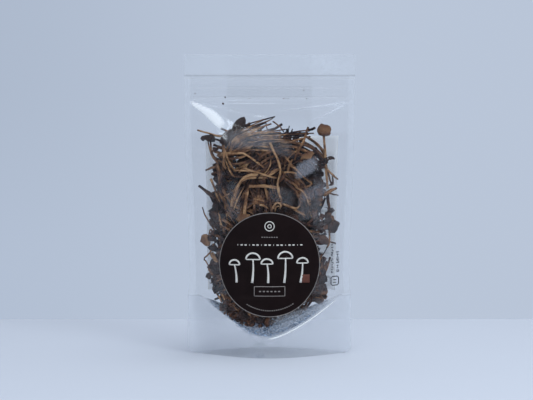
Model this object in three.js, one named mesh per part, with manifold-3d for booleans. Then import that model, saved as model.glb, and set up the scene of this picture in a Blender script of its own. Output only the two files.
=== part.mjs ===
// Dried enoki mushrooms in a clear stand-up pouch with a press zip, a folded foot gusset and two labels.
// Millimetres. +X is right, -Y is the front, +Z is up, and Z = 0 is the surface that the pouch stands on.
import * as THREE from "three";
import Module from "manifold-3d";
import { mergeVertices } from "three/addons/utils/BufferGeometryUtils.js";

const wasm = await Module();
wasm.setup();
const { lerp, smoothstep, clamp } = THREE.MathUtils;

// ---------------------------------------------------------------- driving dimensions of the pouch
const POUCH_HEIGHT = 210;
const TOP_HALF_WIDTH = 60; // flat at the top seal
const WAIST_HALF_WIDTH = 56.5; // drawn in where the pouch is fullest
const FOOT_HALF_WIDTH = 57.6; // the sealed corners beside the gusset
const FOOT_TOP = 41; // top of those corners
const CORNER_RADIUS = 5; // at the bottom corners
const CORNER_BREAK = 1.5; // height of the break in the facets round such a corner
const FILM = 0.6; // film thickness as modelled
const GAP = 0.3; // air left between pieces that touch
const GUSSET_GAP = 0.45; // the same, between the gusset and the panels
const SIDE_SEAL = 5; // width of the seal down each side
const TOP_SEAL = 15; // height of the seal across the top
const ZIP_LOW = 179; // lower edge of the press zip
const ZIP_HIGH = 187; // upper edge of the press zip
const ZIP_HALF_LENGTH = 53.5;
const ZIP_ROOM = 1.35; // how far the zip holds each film off the middle plane
const ZIP_SWELL = 2.5; // how far past its ends it still does
const BELLY = 21; // how far each panel stands out from the middle plane
const FOOT_BELLY = 22.5; // the same, along the bottom edge
const BELLY_HEIGHT = 60; // height of the fullest place
const SHOULDER_LOSS = 3; // how much less it stands out at the shoulder
const SHOULDER_RISE = 90; // the shoulder's height over the fullest place
const ROOF_TOP = 177; // where the panels part, below the zip
const ROOF_SLOPE = 0.62; // how fast they part
const FOOT_POWER = 1.4; // bell-shaped foot
const BELLY_POWER = 0.8; // full, rounded belly
const SHOULDER_POWER = 1.5; // the flat corners under the zip draw the belly's sides in
const SHOULDER_LOW = 145; // height where that begins
const SHOULDER_HIGH = 170; // and where it is complete
const GUSSET_LOW = 13.5; // height of the gusset's seal at the middle
const GUSSET_HIGH = FOOT_TOP; // its height at the side seals
const GUSSET_REACH = 50; // distance from the middle to where it is that high
const GUSSET_CURVE = 1.4;
const GUSSET_RIDGE = 10; // how high the old fold stands along the middle of the gusset

// ---------------------------------------------------------------- driving dimensions of the labels
const LABEL = 0.4; // label thickness as modelled
const ROUND_LABEL_RADIUS = 36;
const ROUND_LABEL_HEIGHT = 64.4; // height of its centre
const BACK_LABEL_HALF_WIDTH = 48.5;
const BACK_LABEL_ASIDE = 1.75; // how far its middle lies to the right, seen from the front
const BACK_LABEL_LOW = 44;
const BACK_LABEL_HIGH = 153;

// ---------------------------------------------------------------- driving dimensions of the mushrooms
const PILE_TOP = 160; // height of the heap at the middle
const PILE_SHOULDER = 13; // how much lower it is at the sides
const PILE_HALF_WIDTH = 40;
const PILE_REACH = 43; // no bundled stem runs further out to the side than this
const CORE_DEPTH = 6; // how far the packed core stays behind the film
const CORE_INSET = 7; // how far the core's sides stay inside the heap's
const CORE_HEADROOM = 5; // how far its top stays below the heap's
const ROOT_DEPTH = 9; // how far behind the film a stem starts, sunk in the core
const TIP_DEPTH = 2; // and how far behind it the stem ends
const ENVELOPE_INSET = 0.6; // nothing in the heap comes closer to the film than this
const BUNDLE_COLUMNS = 3; // bundles of stems on each face of the heap, across
const BUNDLE_ROWS = 4; // and up
const BUNDLE_SHIFT = 7; // most that a bundle strays from its even place
const BUNDLE_STEMS = 4;
const BUNDLE_PITCH = 3.7; // distance from stem to stem
const BUNDLE_FAN = 0.06; // angle between neighbouring stems, in radians
const BUNDLE_BEND = 0.55; // most that a bundle turns either way from its middle, in radians
const STEM_WIDTH = 2.5;
const STEM_THICKNESS = 1.7;
const STEM_STEPS = 3;
const STEM_LENGTH = [26, 42];
const CAP_SHARE = 0.3; // share of the stems that carry a cap
const CAP_RADIUS = [2.8, 4.6];
const CAP_SIDES = 6;
const TUFT_HEIGHT = 120; // bundles above this lie across the heap
const TUFT_LEAN = 0.2; // most that they point up or down, as a share of a half turn

const square = (v) => v * v;
const fract = (v) => v - Math.floor(v);

// A fixed draw between 0 and 1 for stem number i and purpose k.
const draw = (i, k) => fract(Math.sin(i * 127.1 + k * 311.7 + 11.3) * 43758.5453);

// The smaller of two depths, rounded off where they meet.
function softMin(a, b) {
  const least = Math.min(a, b);
  const blend = 0.5 * least + 0.01;
  const near = Math.max(0, blend - Math.abs(a - b)) / blend;
  return least - (near * near * blend) / 4;
}

// ---------------------------------------------------------------- the pouch's shape
// Half the pouch's width at a height, with square bottom corners.
function sealWidth(z) {
  if (z < FOOT_TOP + 8) {
    return lerp(FOOT_HALF_WIDTH, WAIST_HALF_WIDTH, smoothstep(z, FOOT_TOP, FOOT_TOP + 8));
  }
  return lerp(WAIST_HALF_WIDTH, TOP_HALF_WIDTH, smoothstep(z, FOOT_TOP + 8, ROOF_TOP));
}

// The same, with the bottom corners rounded off.
function halfWidth(z) {
  const below = Math.max(0, CORNER_RADIUS - z);
  return sealWidth(z) - CORNER_RADIUS + Math.sqrt(square(CORNER_RADIUS) - square(below));
}

// How far the contents push a panel off its flat lie.
function bulge(x, z) {
  const across = Math.min(1, Math.abs(x) / (sealWidth(z) - SIDE_SEAL));
  const full = smoothstep(z, 0, BELLY_HEIGHT + 10);
  const drawn = smoothstep(z, SHOULDER_LOW, SHOULDER_HIGH);
  const power = lerp(lerp(FOOT_POWER, BELLY_POWER, full), SHOULDER_POWER, drawn);
  const loss = SHOULDER_LOSS * square(Math.max(0, z - BELLY_HEIGHT) / SHOULDER_RISE);
  const lens = (lerp(FOOT_BELLY, BELLY, full) - loss) * (1 - across * across) ** power;
  return softMin(lens, Math.max(0, ROOF_TOP - z) * ROOF_SLOPE);
}

// Distance from the middle plane to a panel's inner face.
function innerFace(x, z) {
  const gussetRoom = (GUSSET_GAP + FILM) * (1 - smoothstep(z, FOOT_TOP + 3, FOOT_TOP + 13));
  const zipRise = smoothstep(z, ZIP_LOW - 2.5, ZIP_LOW - 0.5);
  const zipFall = 1 - smoothstep(z, ZIP_HIGH + 0.5, ZIP_HIGH + 2.5);
  const zipReach = ZIP_HALF_LENGTH + ZIP_SWELL;
  const zipEnd = 1 - smoothstep(Math.abs(x), zipReach, zipReach + 2);
  return GAP / 2 + gussetRoom + ZIP_ROOM * zipRise * zipFall * zipEnd + bulge(x, z);
}

// A point this far outside a panel's inner face, measured square to it. facing is -1 in front, 1 behind.
function panelPoint(x, z, outside, facing) {
  const step = 0.25;
  const slopeX = (innerFace(x + step, z) - innerFace(x - step, z)) / (2 * step);
  const slopeZ = (innerFace(x, z + step) - innerFace(x, z - step)) / (2 * step);
  const length = Math.hypot(slopeX, 1, slopeZ);
  const rise = z > 0 && z < POUCH_HEIGHT ? (-slopeZ * outside) / length : 0;
  const y = facing * (innerFace(x, z) + outside / length);
  return [x - (slopeX * outside) / length, y, z + rise];
}

// Height of the gusset's seal to the panels.
function gussetSeal(x) {
  const rise = (GUSSET_HIGH - GUSSET_LOW) * (Math.abs(x) / GUSSET_REACH) ** GUSSET_CURVE;
  return Math.min(GUSSET_HIGH, GUSSET_LOW + rise);
}

// How far the gusset's fold stands above its seal, at the middle of its depth.
const gussetRidge = (x) => GUSSET_RIDGE * Math.max(0, 1 - square(x / GUSSET_REACH));

// ---------------------------------------------------------------- closed sheets from two grids
// near and far give a point of each face at column i, row j. far lies behind near as a viewer sees the
// columns run right and the rows run up.
function sheet(columns, rows, near, far) {
  const points = [];
  const faces = [];
  const at = (i, j, side) => side * (columns + 1) * (rows + 1) + j * (columns + 1) + i;
  const quad = (a, b, c, d) => faces.push(a, b, c, a, c, d);
  for (const face of [near, far]) {
    for (let j = 0; j <= rows; j++) {
      for (let i = 0; i <= columns; i++) points.push(...face(i, j));
    }
  }
  for (let j = 0; j < rows; j++) {
    for (let i = 0; i < columns; i++) {
      quad(at(i, j, 0), at(i + 1, j, 0), at(i + 1, j + 1, 0), at(i, j + 1, 0));
      quad(at(i, j, 1), at(i, j + 1, 1), at(i + 1, j + 1, 1), at(i + 1, j, 1));
    }
  }
  for (let i = 0; i < columns; i++) {
    quad(at(i, 0, 0), at(i, 0, 1), at(i + 1, 0, 1), at(i + 1, 0, 0));
    quad(at(i, rows, 0), at(i + 1, rows, 0), at(i + 1, rows, 1), at(i, rows, 1));
  }
  for (let j = 0; j < rows; j++) {
    quad(at(0, j, 0), at(0, j + 1, 0), at(0, j + 1, 1), at(0, j, 1));
    quad(at(columns, j, 0), at(columns, j, 1), at(columns, j + 1, 1), at(columns, j + 1, 0));
  }
  const geometry = new THREE.BufferGeometry();
  geometry.setAttribute("position", new THREE.Float32BufferAttribute(points, 3));
  geometry.setIndex(faces);
  return geometry;
}

// ---------------------------------------------------------------- solids
function solidOf(geometry) {
  const plain = geometry.clone();
  plain.deleteAttribute("normal");
  plain.deleteAttribute("uv");
  const merged = mergeVertices(plain, 1e-4);
  const triVerts = new Uint32Array(merged.index.array);
  const vertProperties = new Float32Array(merged.attributes.position.array);
  return new wasm.Manifold(new wasm.Mesh({ numProp: 3, vertProperties, triVerts }));
}

function geometryOf(solid) {
  const mesh = solid.getMesh();
  const geometry = new THREE.BufferGeometry();
  geometry.setAttribute("position", new THREE.BufferAttribute(new Float32Array(mesh.vertProperties), 3));
  geometry.setIndex(new THREE.BufferAttribute(new Uint32Array(mesh.triVerts), 1));
  return geometry;
}

const clearFilm = new THREE.MeshStandardMaterial({
  color: 0xdfe6f0,
  roughness: 0.12,
  metalness: 0,
  transparent: true,
  opacity: 0.25,
});
const darkPaper = new THREE.MeshStandardMaterial({ color: 0x1c1412, roughness: 0.45, metalness: 0 });
const palePaper = new THREE.MeshStandardMaterial({ color: 0xc9ced8, roughness: 0.7, metalness: 0 });
const driedMushroom = new THREE.MeshStandardMaterial({ color: 0x6b4a33, roughness: 0.8, metalness: 0 });

const part = new THREE.Group();

function place(name, geometry, material) {
  const mesh = new THREE.Mesh(geometry, material);
  mesh.name = name;
  part.add(mesh);
  return mesh;
}

// ---------------------------------------------------------------- the films
const PANEL_COLUMNS = 16;
const PANEL_ROWS = [
  0, CORNER_BREAK, CORNER_RADIUS, 13, 22, 32, 41, 47, 54, 68, 84, 100, 115, 129, 142, 154, 164, 171,
  ZIP_LOW - 2.5, ZIP_LOW - 0.5, ZIP_HIGH + 0.5, ZIP_HIGH + 2.5, POUCH_HEIGHT - TOP_SEAL, POUCH_HEIGHT,
];

// Columns stand closer together towards the sides, where the film bends most.
const columnShare = (i, columns) => Math.sin(((i / columns) * 2 - 1) * 1.25) / Math.sin(1.25);

function panel(facing) {
  const layer = (outside) => (i, j) => {
    const z = PANEL_ROWS[j];
    const x = columnShare(facing < 0 ? i : PANEL_COLUMNS - i, PANEL_COLUMNS) * halfWidth(z);
    return panelPoint(x, z, outside, facing);
  };
  return sheet(PANEL_COLUMNS, PANEL_ROWS.length - 1, layer(FILM), layer(0));
}

// The gusset in section: up the front skirt, over the floor that carries the mushrooms, down the back skirt.
const SKIRT_STEPS = 4;
const FLOOR_STEPS = 6;

// Heights up the skirt, as on the panels round the corner and then half way and to the top.
const skirtHeight = (step, top) =>
  [0, CORNER_BREAK, CORNER_RADIUS, (CORNER_RADIUS + top) / 2, top][step];

function gusset() {
  const rows = 2 * SKIRT_STEPS + FLOOR_STEPS;
  const layer = (sunk) => (i, j) => {
    const share = columnShare(i, PANEL_COLUMNS);
    const seal = gussetSeal(share * FOOT_HALF_WIDTH);
    const fromEnd = Math.min(j, rows - j);
    const onSkirt = fromEnd <= SKIRT_STEPS;
    const skirtTop = seal - sunk;
    const over = onSkirt ? 1 : Math.abs(j - rows / 2) / (FLOOR_STEPS / 2);
    const ridge = gussetRidge(share * FOOT_HALF_WIDTH) * (1 - over * over);
    const z = onSkirt ? skirtHeight(fromEnd, skirtTop) : skirtTop + ridge;
    const x = share * halfWidth(Math.min(z, seal));
    const reach = innerFace(x, onSkirt ? z : seal) - GUSSET_GAP - sunk;
    return [x, Math.sign(j - rows / 2) * over * reach, z];
  };
  return sheet(PANEL_COLUMNS, rows, layer(0), layer(FILM));
}

// ---------------------------------------------------------------- the press zip
function zipHalf(outline) {
  const section = new THREE.Shape(outline.map(([y, z]) => new THREE.Vector2(y, z)));
  const strip = new THREE.ExtrudeGeometry(section, { depth: 2 * ZIP_HALF_LENGTH, bevelEnabled: false });
  strip.translate(0, 0, -ZIP_HALF_LENGTH);
  const turned = new THREE.Matrix4().makeBasis(
    new THREE.Vector3(0, 1, 0),
    new THREE.Vector3(0, 0, 1),
    new THREE.Vector3(1, 0, 0),
  );
  return strip.applyMatrix4(turned);
}

const ZIP_BACKING = GAP / 2 + ZIP_ROOM - GAP; // outer face of each zip half, off the middle plane
const ZIP_STRIP = 0.6; // thickness of its flat strip
const ZIP_MIDDLE = (ZIP_LOW + ZIP_HIGH) / 2;
const RIB = 0.5; // half the height of the rib
const JAW_INSIDE = 0.9; // from the zip's middle to the near side of each jaw
const JAW_OUTSIDE = 1.7;
const REACH_OVER = 0.25; // how far rib and jaws reach past the middle plane

function zipRib() {
  const back = -ZIP_BACKING;
  const front = back + ZIP_STRIP;
  return zipHalf([
    [back, ZIP_LOW],
    [front, ZIP_LOW],
    [front, ZIP_MIDDLE - RIB],
    [REACH_OVER, ZIP_MIDDLE - RIB],
    [REACH_OVER, ZIP_MIDDLE + RIB],
    [front, ZIP_MIDDLE + RIB],
    [front, ZIP_HIGH],
    [back, ZIP_HIGH],
  ]);
}

function zipJaws() {
  const back = ZIP_BACKING;
  const front = back - ZIP_STRIP;
  return zipHalf([
    [back, ZIP_LOW],
    [back, ZIP_HIGH],
    [front, ZIP_HIGH],
    [front, ZIP_MIDDLE + JAW_OUTSIDE],
    [-REACH_OVER, ZIP_MIDDLE + JAW_OUTSIDE],
    [-REACH_OVER, ZIP_MIDDLE + JAW_INSIDE],
    [front, ZIP_MIDDLE + JAW_INSIDE],
    [front, ZIP_MIDDLE - JAW_INSIDE],
    [-REACH_OVER, ZIP_MIDDLE - JAW_INSIDE],
    [-REACH_OVER, ZIP_MIDDLE - JAW_OUTSIDE],
    [front, ZIP_MIDDLE - JAW_OUTSIDE],
    [front, ZIP_LOW],
  ]);
}

// ---------------------------------------------------------------- the labels
// The X reached by going a distance round the belly from its middle.
function roundBelly(distance, z) {
  const step = 0.5;
  let x = 0;
  for (let gone = 0; gone < Math.abs(distance); gone += step) {
    const slope = (innerFace(x + step, z) - innerFace(x, z)) / step;
    x += Math.min(step, Math.abs(distance) - gone) / Math.hypot(1, slope);
  }
  return Math.sign(distance) * x;
}

// A label stuck on a panel. flat gives a grid point's distance across from the middle, and its height.
function stuckOn(columns, rows, facing, flat) {
  const layer = (outside) => (i, j) => {
    const [across, z] = flat((2 * i) / columns - 1, j);
    return panelPoint(roundBelly(-facing * across, z), z, FILM + GAP + outside, facing);
  };
  return sheet(columns, rows, layer(LABEL), layer(0));
}

const DISC_STEPS = 8;

// Squares of a grid bent onto a disc.
function disc(u, j) {
  const v = (2 * j) / DISC_STEPS - 1;
  const x = ROUND_LABEL_RADIUS * u * Math.sqrt(1 - (v * v) / 2);
  return [x, ROUND_LABEL_HEIGHT + ROUND_LABEL_RADIUS * v * Math.sqrt(1 - (u * u) / 2)];
}

// An oblong that bends where the panel's own facets do.
const OBLONG_COLUMNS = 10;
const OBLONG_ROWS = [
  BACK_LABEL_LOW,
  ...PANEL_ROWS.filter((z) => z > BACK_LABEL_LOW + 1 && z < BACK_LABEL_HIGH - 1),
  BACK_LABEL_HIGH,
];
const oblong = (u, j) => [u * BACK_LABEL_HALF_WIDTH - BACK_LABEL_ASIDE, OBLONG_ROWS[j]];

// ---------------------------------------------------------------- the mushrooms
const pileTop = (x) => PILE_TOP - PILE_SHOULDER * square(x / PILE_HALF_WIDTH);
const pileFloor = (x) => gussetSeal(x) + gussetRidge(x) + 2;

// A place in the heap, this deep behind the film, kept off the seals and the gusset.
function inHeap(x, z, depth, facing) {
  const top = ROOF_TOP - (depth + 1.5) / ROOF_SLOPE;
  const height = clamp(z, pileFloor(x), top);
  const reach = sealWidth(height) - SIDE_SEAL - 4;
  const across = clamp(x, -reach, reach);
  const out = Math.max(0.3, bulge(across, height) - depth);
  return new THREE.Vector3(across, facing * out, height);
}

const stemSection = new THREE.Shape([
  new THREE.Vector2(-STEM_THICKNESS / 2, -STEM_WIDTH / 2),
  new THREE.Vector2(STEM_THICKNESS / 2, -STEM_WIDTH / 2),
  new THREE.Vector2(STEM_THICKNESS / 2, STEM_WIDTH / 2),
  new THREE.Vector2(-STEM_THICKNESS / 2, STEM_WIDTH / 2),
]);

function stem(points) {
  const extrudePath = new THREE.CatmullRomCurve3(points);
  return new THREE.ExtrudeGeometry(stemSection, { steps: STEM_STEPS, bevelEnabled: false, extrudePath });
}

// A small shrivelled cap, its dome along the stem's last stretch.
function cap(points, radius) {
  const outline = [
    [0, -0.15],
    [1, -0.05],
    [0.75, 0.45],
    [0, 0.65],
  ].map(([r, up]) => new THREE.Vector2(r * radius, up * radius));
  const dome = new THREE.LatheGeometry(outline, CAP_SIDES);
  const tip = points[points.length - 1];
  const along = tip.clone().sub(points[points.length - 2]).normalize();
  dome.applyQuaternion(new THREE.Quaternion().setFromUnitVectors(new THREE.Vector3(0, 1, 0), along));
  return dome.translate(tip.x, tip.y, tip.z);
}

// Depth behind the film at a share of the way along a stem: out of the core, then level with the film.
const stemDepth = (t, tipDepth) => lerp(ROOT_DEPTH, tipDepth, Math.min(1, 2 * t));

// Turns back what would run out past the heap's side.
const tucked = (x) => x / (1 + (x / PILE_REACH) ** 6) ** (1 / 6);

// One bundle of nearly parallel stems, fanned out from roots that are sunk in the core.
function bundle(facing, column, row) {
  const number = (facing + 1) * 50 + row * BUNDLE_COLUMNS + column;
  const stray = (k) => (2 * draw(number, k) - 1) * BUNDLE_SHIFT;
  const x0 = (2 * ((column + 0.5) / BUNDLE_COLUMNS) - 1) * PILE_HALF_WIDTH + stray(7);
  const z0 = lerp(pileFloor(x0), pileTop(x0), (row + 0.5) / BUNDLE_ROWS) + stray(8);
  const turn = 2 * draw(number, 1);
  const across = Math.floor(turn) + lerp(-TUFT_LEAN, TUFT_LEAN, fract(turn));
  const heading = Math.PI * (z0 > TUFT_HEIGHT ? across : turn);
  const bend = lerp(-BUNDLE_BEND, BUNDLE_BEND, draw(number, 2)) + 0.011;
  const stems = [];
  for (let k = 0; k < BUNDLE_STEMS; k++) {
    const place = k - (BUNDLE_STEMS - 1) / 2;
    const own = number * BUNDLE_STEMS + k;
    const half = lerp(...STEM_LENGTH, draw(own, 3)) / 2;
    const aim = heading + place * BUNDLE_FAN;
    const points = [];
    for (let step = 0; step <= STEM_STEPS; step++) {
      const t = step / STEM_STEPS;
      const turned = bend * (2 * t - 1);
      const along = (half / bend) * (Math.sin(aim + turned) - Math.sin(aim));
      const up = (half / bend) * (Math.cos(aim) - Math.cos(aim + turned));
      const x = x0 + along - place * BUNDLE_PITCH * Math.sin(heading);
      const z = z0 + up + place * BUNDLE_PITCH * Math.cos(heading);
      points.push(inHeap(tucked(x), z, stemDepth(t, TIP_DEPTH + draw(own, 4)), facing));
    }
    const radius = draw(own, 5) < CAP_SHARE ? lerp(...CAP_RADIUS, draw(own, 6)) : 0;
    stems.push({ points, radius });
  }
  return stems;
}

// Mushrooms that stand clear of the heap: where the stem starts and ends across and up, how much it bows
// sideways, and the cap's radius.
const STANDING = [
  { name: "tall one at the right shoulder", from: [37, 112], to: [38.5, 158], bow: 1.5, radius: 4.2 },
  { name: "flat dark cap at the left shoulder", from: [-36, 128], to: [-43, 151], bow: -1, radius: 4.8 },
  { name: "bare stem leaning out at the left shoulder", from: [-24, 149], to: [-49, 156.5], bow: 1, radius: 0 },
  { name: "stout cap on top", from: [-24, 146], to: [-19.5, 162], bow: 0, radius: 4 },
  { name: "small cap under it", from: [-32, 136], to: [-29, 152], bow: 0, radius: 3.4 },
  { name: "thin stem across the top", from: [4, 148], to: [29, 157.5], bow: 2, radius: 0 },
  { name: "tuft end on top", from: [-18, 143], to: [4, 165], bow: 2, radius: 0 },
  { name: "stout stub at the left", from: [-28, 103], to: [-48, 120], bow: 1, radius: 0 },
  { name: "thin stem at the left", from: [-28, 76], to: [-46.5, 102], bow: 1, radius: 0 },
  { name: "round cap at the left", from: [-34, 88], to: [-45, 79], bow: 2, radius: 3.7 },
  { name: "fork at the right", from: [34, 117], to: [49, 127], bow: 0, radius: 0 },
  { name: "small cap at the right", from: [36, 128], to: [46, 141], bow: 1, radius: 2.6 },
  { name: "stub at the right", from: [27, 107], to: [48, 113], bow: 0, radius: 0 },
  { name: "leaning cap at the right", from: [32, 96], to: [46, 88], bow: -2, radius: 4.2 },
  { name: "loose stem at the lower right", from: [27, 46], to: [42, 72], bow: 2, radius: 0 },
];

function standingStem({ from, to, bow, radius }) {
  const points = [];
  const length = Math.hypot(to[0] - from[0], to[1] - from[1]);
  for (let k = 0; k <= STEM_STEPS; k++) {
    const t = k / STEM_STEPS;
    const aside = (bow * 4 * t * (1 - t)) / length;
    const x = lerp(from[0], to[0], t) - aside * (to[1] - from[1]);
    const z = lerp(from[1], to[1], t) + aside * (to[0] - from[0]);
    points.push(inHeap(x, z, stemDepth(t, Math.max(TIP_DEPTH, 0.8 * radius)), -1));
  }
  return { points, radius };
}

// The packed middle of the heap, a lumpy cushion set back from the film on every side.
const CORE_COLUMNS = 10;
const CORE_ROWS = 12;

function core() {
  const layer = (facing) => (i, j) => {
    const up = j / CORE_ROWS;
    const side = columnShare(i, CORE_COLUMNS);
    const rounded = Math.sqrt(Math.max(0, 1 - square(2 * up - 1) ** 4));
    const x = side * (PILE_HALF_WIDTH - CORE_INSET) * lerp(0.55, 1, rounded);
    const z = lerp(pileFloor(x) + 1, pileTop(x) - CORE_HEADROOM, up);
    const lump = 0.8 * Math.sin(x * 0.45 + facing) * Math.sin(z * 0.37 + 2 * facing);
    const open = Math.min(1, 12 * Math.min(up, 1 - up) + 0.15);
    return [x, facing * Math.max(0.8, (bulge(x, z) - CORE_DEPTH + lump) * open), z];
  };
  return sheet(CORE_COLUMNS, CORE_ROWS, layer(-1), layer(1));
}

// Everything that the films leave room for.
const ROOM_COLUMNS = 16;
const ROOM_ROWS = 22;

function room() {
  const layer = (facing) => (i, j) => {
    const share = columnShare(i, ROOM_COLUMNS);
    const foot = share * FOOT_HALF_WIDTH;
    const low = gussetSeal(foot) + gussetRidge(foot) + ENVELOPE_INSET;
    const z = lerp(low, ROOF_TOP - 3, j / ROOM_ROWS);
    const x = share * (sealWidth(z) - SIDE_SEAL - 1.5);
    return [x, facing * Math.max(0.05, bulge(x, z) - ENVELOPE_INSET), z];
  };
  return sheet(ROOM_COLUMNS, ROOM_ROWS, layer(-1), layer(1));
}

function heap() {
  let solid = solidOf(core());
  const grown = STANDING.map(standingStem);
  for (const facing of [-1, 1]) {
    for (let row = 0; row < BUNDLE_ROWS; row++) {
      for (let column = 0; column < BUNDLE_COLUMNS; column++) grown.push(...bundle(facing, column, row));
    }
  }
  for (const { points, radius } of grown) {
    solid = solid.add(solidOf(stem(points)));
    if (radius) solid = solid.add(solidOf(cap(points, radius)));
  }
  const bodies = solid.intersect(solidOf(room())).decompose();
  bodies.sort((a, b) => b.volume() - a.volume());
  return geometryOf(bodies[0]);
}

// ---------------------------------------------------------------- assembly
place("front_film", panel(-1), clearFilm);
place("back_film", panel(1), clearFilm);
place("foot_gusset", gusset(), clearFilm);
place("zip_rib", zipRib(), clearFilm);
place("zip_jaws", zipJaws(), clearFilm);
place("round_label", stuckOn(DISC_STEPS, DISC_STEPS, -1, disc), darkPaper);
place("back_label", stuckOn(OBLONG_COLUMNS, OBLONG_ROWS.length - 1, 1, oblong), palePaper);
place("enoki_heap", heap(), driedMushroom);

export default part;
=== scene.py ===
"""Looks of a clear stand-up pouch of dried enoki mushrooms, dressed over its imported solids.

Shapes are worked out in millimetres and made in metres: +X right, -Y front, +Z up, standing on Z = 0.
"""

import math
import random

import bmesh
import bpy
from mathutils import Matrix, Vector, noise


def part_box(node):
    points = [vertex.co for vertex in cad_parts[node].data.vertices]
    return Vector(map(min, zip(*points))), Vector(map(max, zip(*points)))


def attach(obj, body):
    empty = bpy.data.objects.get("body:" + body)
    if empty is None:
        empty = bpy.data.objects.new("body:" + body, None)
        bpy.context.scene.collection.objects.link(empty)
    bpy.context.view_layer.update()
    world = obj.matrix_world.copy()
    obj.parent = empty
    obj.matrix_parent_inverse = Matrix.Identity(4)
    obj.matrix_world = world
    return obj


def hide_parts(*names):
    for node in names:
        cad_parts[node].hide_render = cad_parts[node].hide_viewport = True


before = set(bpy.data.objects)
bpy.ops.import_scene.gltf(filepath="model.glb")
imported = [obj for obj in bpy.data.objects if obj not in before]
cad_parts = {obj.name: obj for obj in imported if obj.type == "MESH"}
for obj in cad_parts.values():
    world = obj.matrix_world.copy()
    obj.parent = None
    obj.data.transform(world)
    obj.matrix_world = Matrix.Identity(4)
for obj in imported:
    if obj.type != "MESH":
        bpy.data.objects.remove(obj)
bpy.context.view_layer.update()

MM = 0.001
rng = random.Random(1207)
noise.seed_set(7)  # the kinks of the stems come from noise_vector, which the clock seeds otherwise


def metres(x, y, z):
    return Vector((x, y, z)) * MM


# ------------------------------------------------------------------ plain sums
def clamp(v, low, high):
    return max(low, min(high, v))


def lerp(a, b, t):
    return a + (b - a) * t


def smoothstep(v, low, high):
    t = clamp((v - low) / (high - low), 0, 1)
    return t * t * (3 - 2 * t)


def soft_min(a, b):
    """The smaller of two depths, rounded off where they meet."""
    least = min(a, b)
    blend = 0.5 * least + 0.01
    near = max(0, blend - abs(a - b)) / blend
    return least - near * near * blend / 4


def hill(v, middle, width):
    """1 at the middle, falling to 0 a few widths away."""
    return math.exp(-(((v - middle) / width) ** 2))


def wander(x, y, z, size):
    """Smooth noise, about -1 to 1, with bumps of this size."""
    return noise.noise(Vector((x, y, z)) / size)


# ------------------------------------------------------------------ the pouch's shape, as its solids have it
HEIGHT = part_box("front_film")[1].z / MM
TOP_HALF_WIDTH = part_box("front_film")[1].x / MM
WAIST_HALF_WIDTH = 56.5
FOOT_HALF_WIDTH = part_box("foot_gusset")[1].x / MM
FOOT_TOP = 41
CORNER_RADIUS = 5
SIDE_SEAL = 5
TOP_SEAL = 15
ZIP_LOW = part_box("zip_rib")[0].z / MM
ZIP_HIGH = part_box("zip_rib")[1].z / MM
ZIP_HALF_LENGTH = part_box("zip_rib")[1].x / MM
ZIP_ROOM = 1.3
ZIP_SWELL = 2.5
GUSSET_ROOM = 0.6
FILM_GAP = 0.05
FILM = 0.2
BELLY = 21
FOOT_BELLY = 22.5
BELLY_HEIGHT = 60
SHOULDER_LOSS = 3
SHOULDER_RISE = 90
ROOF_TOP = 177
ROOF_SLOPE = 0.62
FOOT_POWER = 1.4
BELLY_POWER = 0.8
SHOULDER_POWER = 1.5
SHOULDER_LOW = 145
SHOULDER_HIGH = 170
GUSSET_LOW = 13.5
GUSSET_REACH = 50
GUSSET_CURVE = 1.4
GUSSET_RIDGE = 10
LABEL_LIFT = 0.35  # the labels' backs, off the film's inner face
LABEL = 0.14
ROUND_LABEL_RADIUS = 36
ROUND_LABEL_HEIGHT = 64.4
BACK_LABEL_HALF_WIDTH = 48.5
BACK_LABEL_ASIDE = 1.75
BACK_LABEL_LOW = 44
BACK_LABEL_HIGH = 153
PILE_TOP = 160
PILE_SHOULDER = 13
PILE_HALF_WIDTH = 40
PILE_REACH = 43


def seal_width(z):
    """Half the pouch's width, with square bottom corners."""
    if z < FOOT_TOP + 8:
        return lerp(FOOT_HALF_WIDTH, WAIST_HALF_WIDTH, smoothstep(z, FOOT_TOP, FOOT_TOP + 8))
    return lerp(WAIST_HALF_WIDTH, TOP_HALF_WIDTH, smoothstep(z, FOOT_TOP + 8, ROOF_TOP))


def half_width(z):
    """The same, with the bottom corners rounded off."""
    below = clamp(CORNER_RADIUS - z, 0, CORNER_RADIUS)
    return seal_width(z) - CORNER_RADIUS + math.sqrt(CORNER_RADIUS**2 - below**2)


def bulge(x, z):
    """How far the contents push a panel off its flat lie."""
    across = min(1, abs(x) / (seal_width(z) - SIDE_SEAL))
    full = smoothstep(z, 0, BELLY_HEIGHT + 10)
    drawn = smoothstep(z, SHOULDER_LOW, SHOULDER_HIGH)
    power = lerp(lerp(FOOT_POWER, BELLY_POWER, full), SHOULDER_POWER, drawn)
    loss = SHOULDER_LOSS * (max(0, z - BELLY_HEIGHT) / SHOULDER_RISE) ** 2
    lens = (lerp(FOOT_BELLY, BELLY, full) - loss) * (1 - across * across) ** power
    return soft_min(lens, max(0, ROOF_TOP - z) * ROOF_SLOPE)


def gusset_seal(x):
    """Height of the gusset's seal to the panels."""
    rise = (FOOT_TOP - GUSSET_LOW) * (abs(x) / GUSSET_REACH) ** GUSSET_CURVE
    return min(FOOT_TOP, GUSSET_LOW + rise)


def gusset_ridge(x):
    """How far the gusset's old fold stands above its seal, at the middle of its depth."""
    return GUSSET_RIDGE * max(0, 1 - (x / GUSSET_REACH) ** 2)


def crease(x, z, side, fall, sharpness):
    """A straight crease that runs from an end of the zip, falling by this angle in degrees."""
    run = side * (ZIP_HALF_LENGTH + 4) - x
    drop = ROOF_TOP - z
    length = math.hypot(run, drop)
    angle = math.degrees(math.atan2(drop, side * run))
    return hill(angle, fall, sharpness) * smoothstep(length, 2, 20) * (1 - smoothstep(length, 45, 75))


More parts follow.
